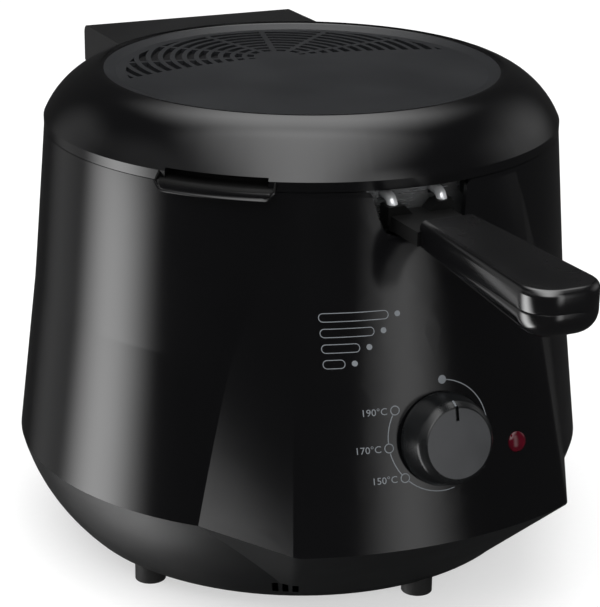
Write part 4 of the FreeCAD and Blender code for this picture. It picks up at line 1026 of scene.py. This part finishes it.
def soft_box(tree, direction, turn, rise, half_width, half_height, soft_side, soft_end, level):
    """Brightness of one soft box on the sky, from its middle, half sizes and soft edges in degrees."""
    across = math.radians(turn)
    above = math.radians(rise)
    aim = Vector((math.sin(across) * math.cos(above), -math.cos(across) * math.cos(above), math.sin(above)))
    side = Vector((math.cos(across), math.sin(across), 0.0))
    upward = aim.cross(side)
    ahead = add_node(tree, "ShaderNodeVectorMath", {0: direction, 1: aim}, operation="DOT_PRODUCT")
    light = level
    for axis, half, soft in ((side, half_width, soft_side), (upward, half_height, soft_end)):
        along = add_node(tree, "ShaderNodeVectorMath", {0: direction, 1: axis}, operation="DOT_PRODUCT")
        angle = add_node(tree, "ShaderNodeMath", {0: along.outputs["Value"], 1: ahead.outputs["Value"]},
                         operation="ARCTAN2")
        away = add_node(tree, "ShaderNodeMath", {0: angle.outputs[0]}, operation="ABSOLUTE")
        edge = add_node(tree, "ShaderNodeMapRange", {
            "Value": away.outputs[0], "From Min": math.radians(half + soft),
            "From Max": math.radians(half - soft), "To Min": 0.0, "To Max": 1.0},
            interpolation_type="SMOOTHSTEP")
        light = add_node(tree, "ShaderNodeMath", {0: light, 1: edge.outputs["Result"]},
                         operation="MULTIPLY").outputs[0]
    return light


# Soft boxes in reflections; angles in degrees, with the turn counted from the front.
SOFT_BOXES = (
    # Low at the left, with sharp ends.
    dict(turn=-109.0, rise=-33.0, half_width=14.0, half_height=25.0, soft_side=13.0, soft_end=1.5, level=4.7),
    # Dim, at the left and behind.
    dict(turn=-144.0, rise=0.0, half_width=15.0, half_height=30.0, soft_side=12.0, soft_end=8.0, level=0.24),
    # Upright strip in front, a little to the right.
    dict(turn=16.0, rise=8.0, half_width=9.0, half_height=28.0, soft_side=9.0, soft_end=8.0, level=1.35),
    # High in front.
    dict(turn=-27.0, rise=62.0, half_width=22.0, half_height=38.0, soft_side=22.0, soft_end=8.0, level=3.2),
    # High behind.
    dict(turn=155.0, rise=64.0, half_width=18.0, half_height=16.0, soft_side=14.0, soft_end=12.0, level=2.8),
    # Dim, at the left and the right.
    dict(turn=-95.0, rise=32.0, half_width=24.0, half_height=14.0, soft_side=14.0, soft_end=12.0, level=0.2),
    dict(turn=95.0, rise=18.0, half_width=20.0, half_height=14.0, soft_side=14.0, soft_end=12.0, level=0.4),
)


def make_world():
    """Even room light, with a dark studio and its soft boxes in reflections and white behind."""
    stage = bpy.context.scene.fryer_stage
    world = bpy.data.worlds.new("studio")
    bpy.context.scene.world = world
    world.use_nodes = True
    world.cycles.sampling_method = "NONE"
    tree = world.node_tree
    tree.nodes.clear()
    rays = add_node(tree, "ShaderNodeLightPath")
    direction = add_node(tree, "ShaderNodeTexCoord").outputs["Generated"]
    level = stage.dark
    for settings in SOFT_BOXES:
        light = soft_box(tree, direction, **settings)
        level = add_node(tree, "ShaderNodeMath", {0: level, 1: light}, operation="ADD").outputs[0]
    even = add_node(tree, "ShaderNodeBackground", {"Color": (1, 1, 1, 1), "Strength": stage.ambient})
    boxes = add_node(tree, "ShaderNodeBackground", {"Color": (1, 1, 1, 1), "Strength": level})
    white = add_node(tree, "ShaderNodeBackground", {"Color": (1, 1, 1, 1), "Strength": 1.0})
    shiny = add_node(tree, "ShaderNodeMath", {
        0: rays.outputs["Is Glossy Ray"], 1: rays.outputs["Is Transmission Ray"]}, operation="MAXIMUM")
    lit = add_node(tree, "ShaderNodeMixShader", {
        0: shiny.outputs[0], 1: even.outputs[0], 2: boxes.outputs[0]})
    seen = add_node(tree, "ShaderNodeMixShader", {
        0: rays.outputs["Is Camera Ray"], 1: lit.outputs[0], 2: white.outputs[0]})
    add_node(tree, "ShaderNodeOutputWorld", {"Surface": seen.outputs[0]})


def make_floor():
    """White paper on a light table under the object, which keeps its soft shadow."""
    table_width = 14.0
    glow_share = 0.55
    fibre_mm = 4.0
    deselect()
    bpy.ops.mesh.primitive_grid_add(x_subdivisions=8, y_subdivisions=8, size=table_width, location=(0, 0, 0))
    floor = named("paper_floor")
    settle(floor)
    finish, tree = new_finish("white_paper")
    place = add_node(tree, "ShaderNodeTexCoord").outputs["Object"]
    fibre = add_node(tree, "ShaderNodeTexNoise", {"Vector": place, "Scale": per_size(fibre_mm)})
    ramp = add_node(tree, "ShaderNodeValToRGB", {"Fac": fibre.outputs["Fac"]},
                    stops=((0.0, linear("#FAFAFA")), (1.0, linear("#FFFFFF"))))
    paper = add_node(tree, "ShaderNodeBsdfDiffuse", {"Color": ramp.outputs["Color"]})
    glow = add_node(tree, "ShaderNodeEmission", {"Color": linear("#FFFFFF"), "Strength": 1.0})
    shader = add_node(tree, "ShaderNodeMixShader", {0: glow_share, 1: paper.outputs[0], 2: glow.outputs[0]})
    add_node(tree, "ShaderNodeOutputMaterial", {"Surface": shader.outputs[0]})
    paint(floor, finish)
    floor.visible_glossy = False


def add_lamp(label, place, aim, width, power):
    """Soft square lamp that lights the object and doesn't show in reflections."""
    lamp_data = bpy.data.lights.new(label, "AREA")
    lamp_data.shape = "SQUARE"
    lamp_data.size = width
    lamp_data.energy = power
    lamp = bpy.data.objects.new(label, lamp_data)
    bpy.context.scene.collection.objects.link(lamp)
    lamp.location = place
    lamp.rotation_euler = (Vector(aim) - Vector(place)).to_track_quat("-Z", "Y").to_euler()
    lamp.visible_glossy = False
    lamp.visible_camera = False


class FRYER_OT_add_stage(bpy.types.Operator):
    """Set the floor, the light and the camera"""

    bl_idname = "fryer.add_stage"
    bl_label = "Add stage"

    def execute(self, context):
        stage = context.scene.fryer_stage
        make_world()
        make_floor()
        lamp_aim = (0, 0, 0.1)
        add_lamp("key_lamp", stage.key_place, lamp_aim, stage.key_width, stage.key_power)
        turn, rise, roll = stage.view_turn, stage.view_rise, stage.view_roll
        back = Vector((math.sin(turn) * math.cos(rise), -math.cos(turn) * math.cos(rise), math.sin(rise)))
        right = Vector((math.cos(turn), math.sin(turn), 0.0))
        upward = back.cross(right)
        side, height = stage.target
        place = Vector((0, BOWL_AXIS_Y, height)) + right * side + back * stage.view_distance
        across = right * math.cos(roll) + upward * math.sin(roll)
        above = upward * math.cos(roll) - right * math.sin(roll)
        camera_data = bpy.data.cameras.new("photo_camera")
        camera_data.sensor_width = SENSOR_SIZE
        camera_data.lens = SENSOR_SIZE * FOCAL_PIXELS / max(IMAGE_WIDTH, IMAGE_HEIGHT)
        camera_data.clip_end = 50.0
        camera = bpy.data.objects.new("photo_camera", camera_data)
        context.scene.collection.objects.link(camera)
        turned_axes = Matrix((across, above, back)).transposed().to_4x4()
        camera.matrix_world = Matrix.Translation(place) @ turned_axes
        context.scene.camera = camera
        context.scene.view_settings.view_transform = "Standard"
        return {"FINISHED"}


class FRYER_PT_panel(bpy.types.Panel):
    """Lists the steps that finish the fryer"""

    bl_idname = "FRYER_PT_panel"
    bl_label = "Deep fryer"
    bl_space_type = "VIEW_3D"
    bl_region_type = "UI"
    bl_category = "Fryer"

    def draw(self, context):
        layout = self.layout
        for group in (context.scene.fryer_sizes, context.scene.fryer_colours, context.scene.fryer_stage):
            for key in group.bl_rna.properties.keys():
                if key not in ("rna_type", "name"):
                    layout.prop(group, key)
        for step in STEPS:
            layout.operator(step.bl_idname)


STEPS = (
    FRYER_OT_finish_solids,
    FRYER_OT_add_knob,
    FRYER_OT_add_lens,
    FRYER_OT_add_handle,
    FRYER_OT_add_scoop,
    FRYER_OT_add_plate_rim,
    FRYER_OT_add_basket,
    FRYER_OT_add_dial,
    FRYER_OT_add_guide,
    FRYER_OT_add_stage,
)
GROUPS = (FryerSizes, FryerColours, FryerStage)


def register():
    """Register the groups, the steps and the panel."""
    for kind in GROUPS + STEPS + (FRYER_PT_panel,):
        bpy.utils.register_class(kind)
    bpy.types.Scene.fryer_sizes = PointerProperty(type=FryerSizes)
    bpy.types.Scene.fryer_colours = PointerProperty(type=FryerColours)
    bpy.types.Scene.fryer_stage = PointerProperty(type=FryerStage)


def unregister():
    """Remove what register adds."""
    del bpy.types.Scene.fryer_stage
    del bpy.types.Scene.fryer_colours
    del bpy.types.Scene.fryer_sizes
    for kind in (FRYER_PT_panel,) + STEPS[::-1] + GROUPS[::-1]:
        bpy.utils.unregister_class(kind)


def main():
    """Build every piece and the stage."""
    register()
    bpy.ops.fryer.finish_solids()
    bpy.ops.fryer.add_knob()
    bpy.ops.fryer.add_lens()
    bpy.ops.fryer.add_handle()
    bpy.ops.fryer.add_scoop()
    bpy.ops.fryer.add_plate_rim()
    bpy.ops.fryer.add_basket()
    bpy.ops.fryer.add_dial()
    bpy.ops.fryer.add_guide()
    bpy.ops.fryer.add_stage()
    deselect()


if __name__ == "__main__":
    main()
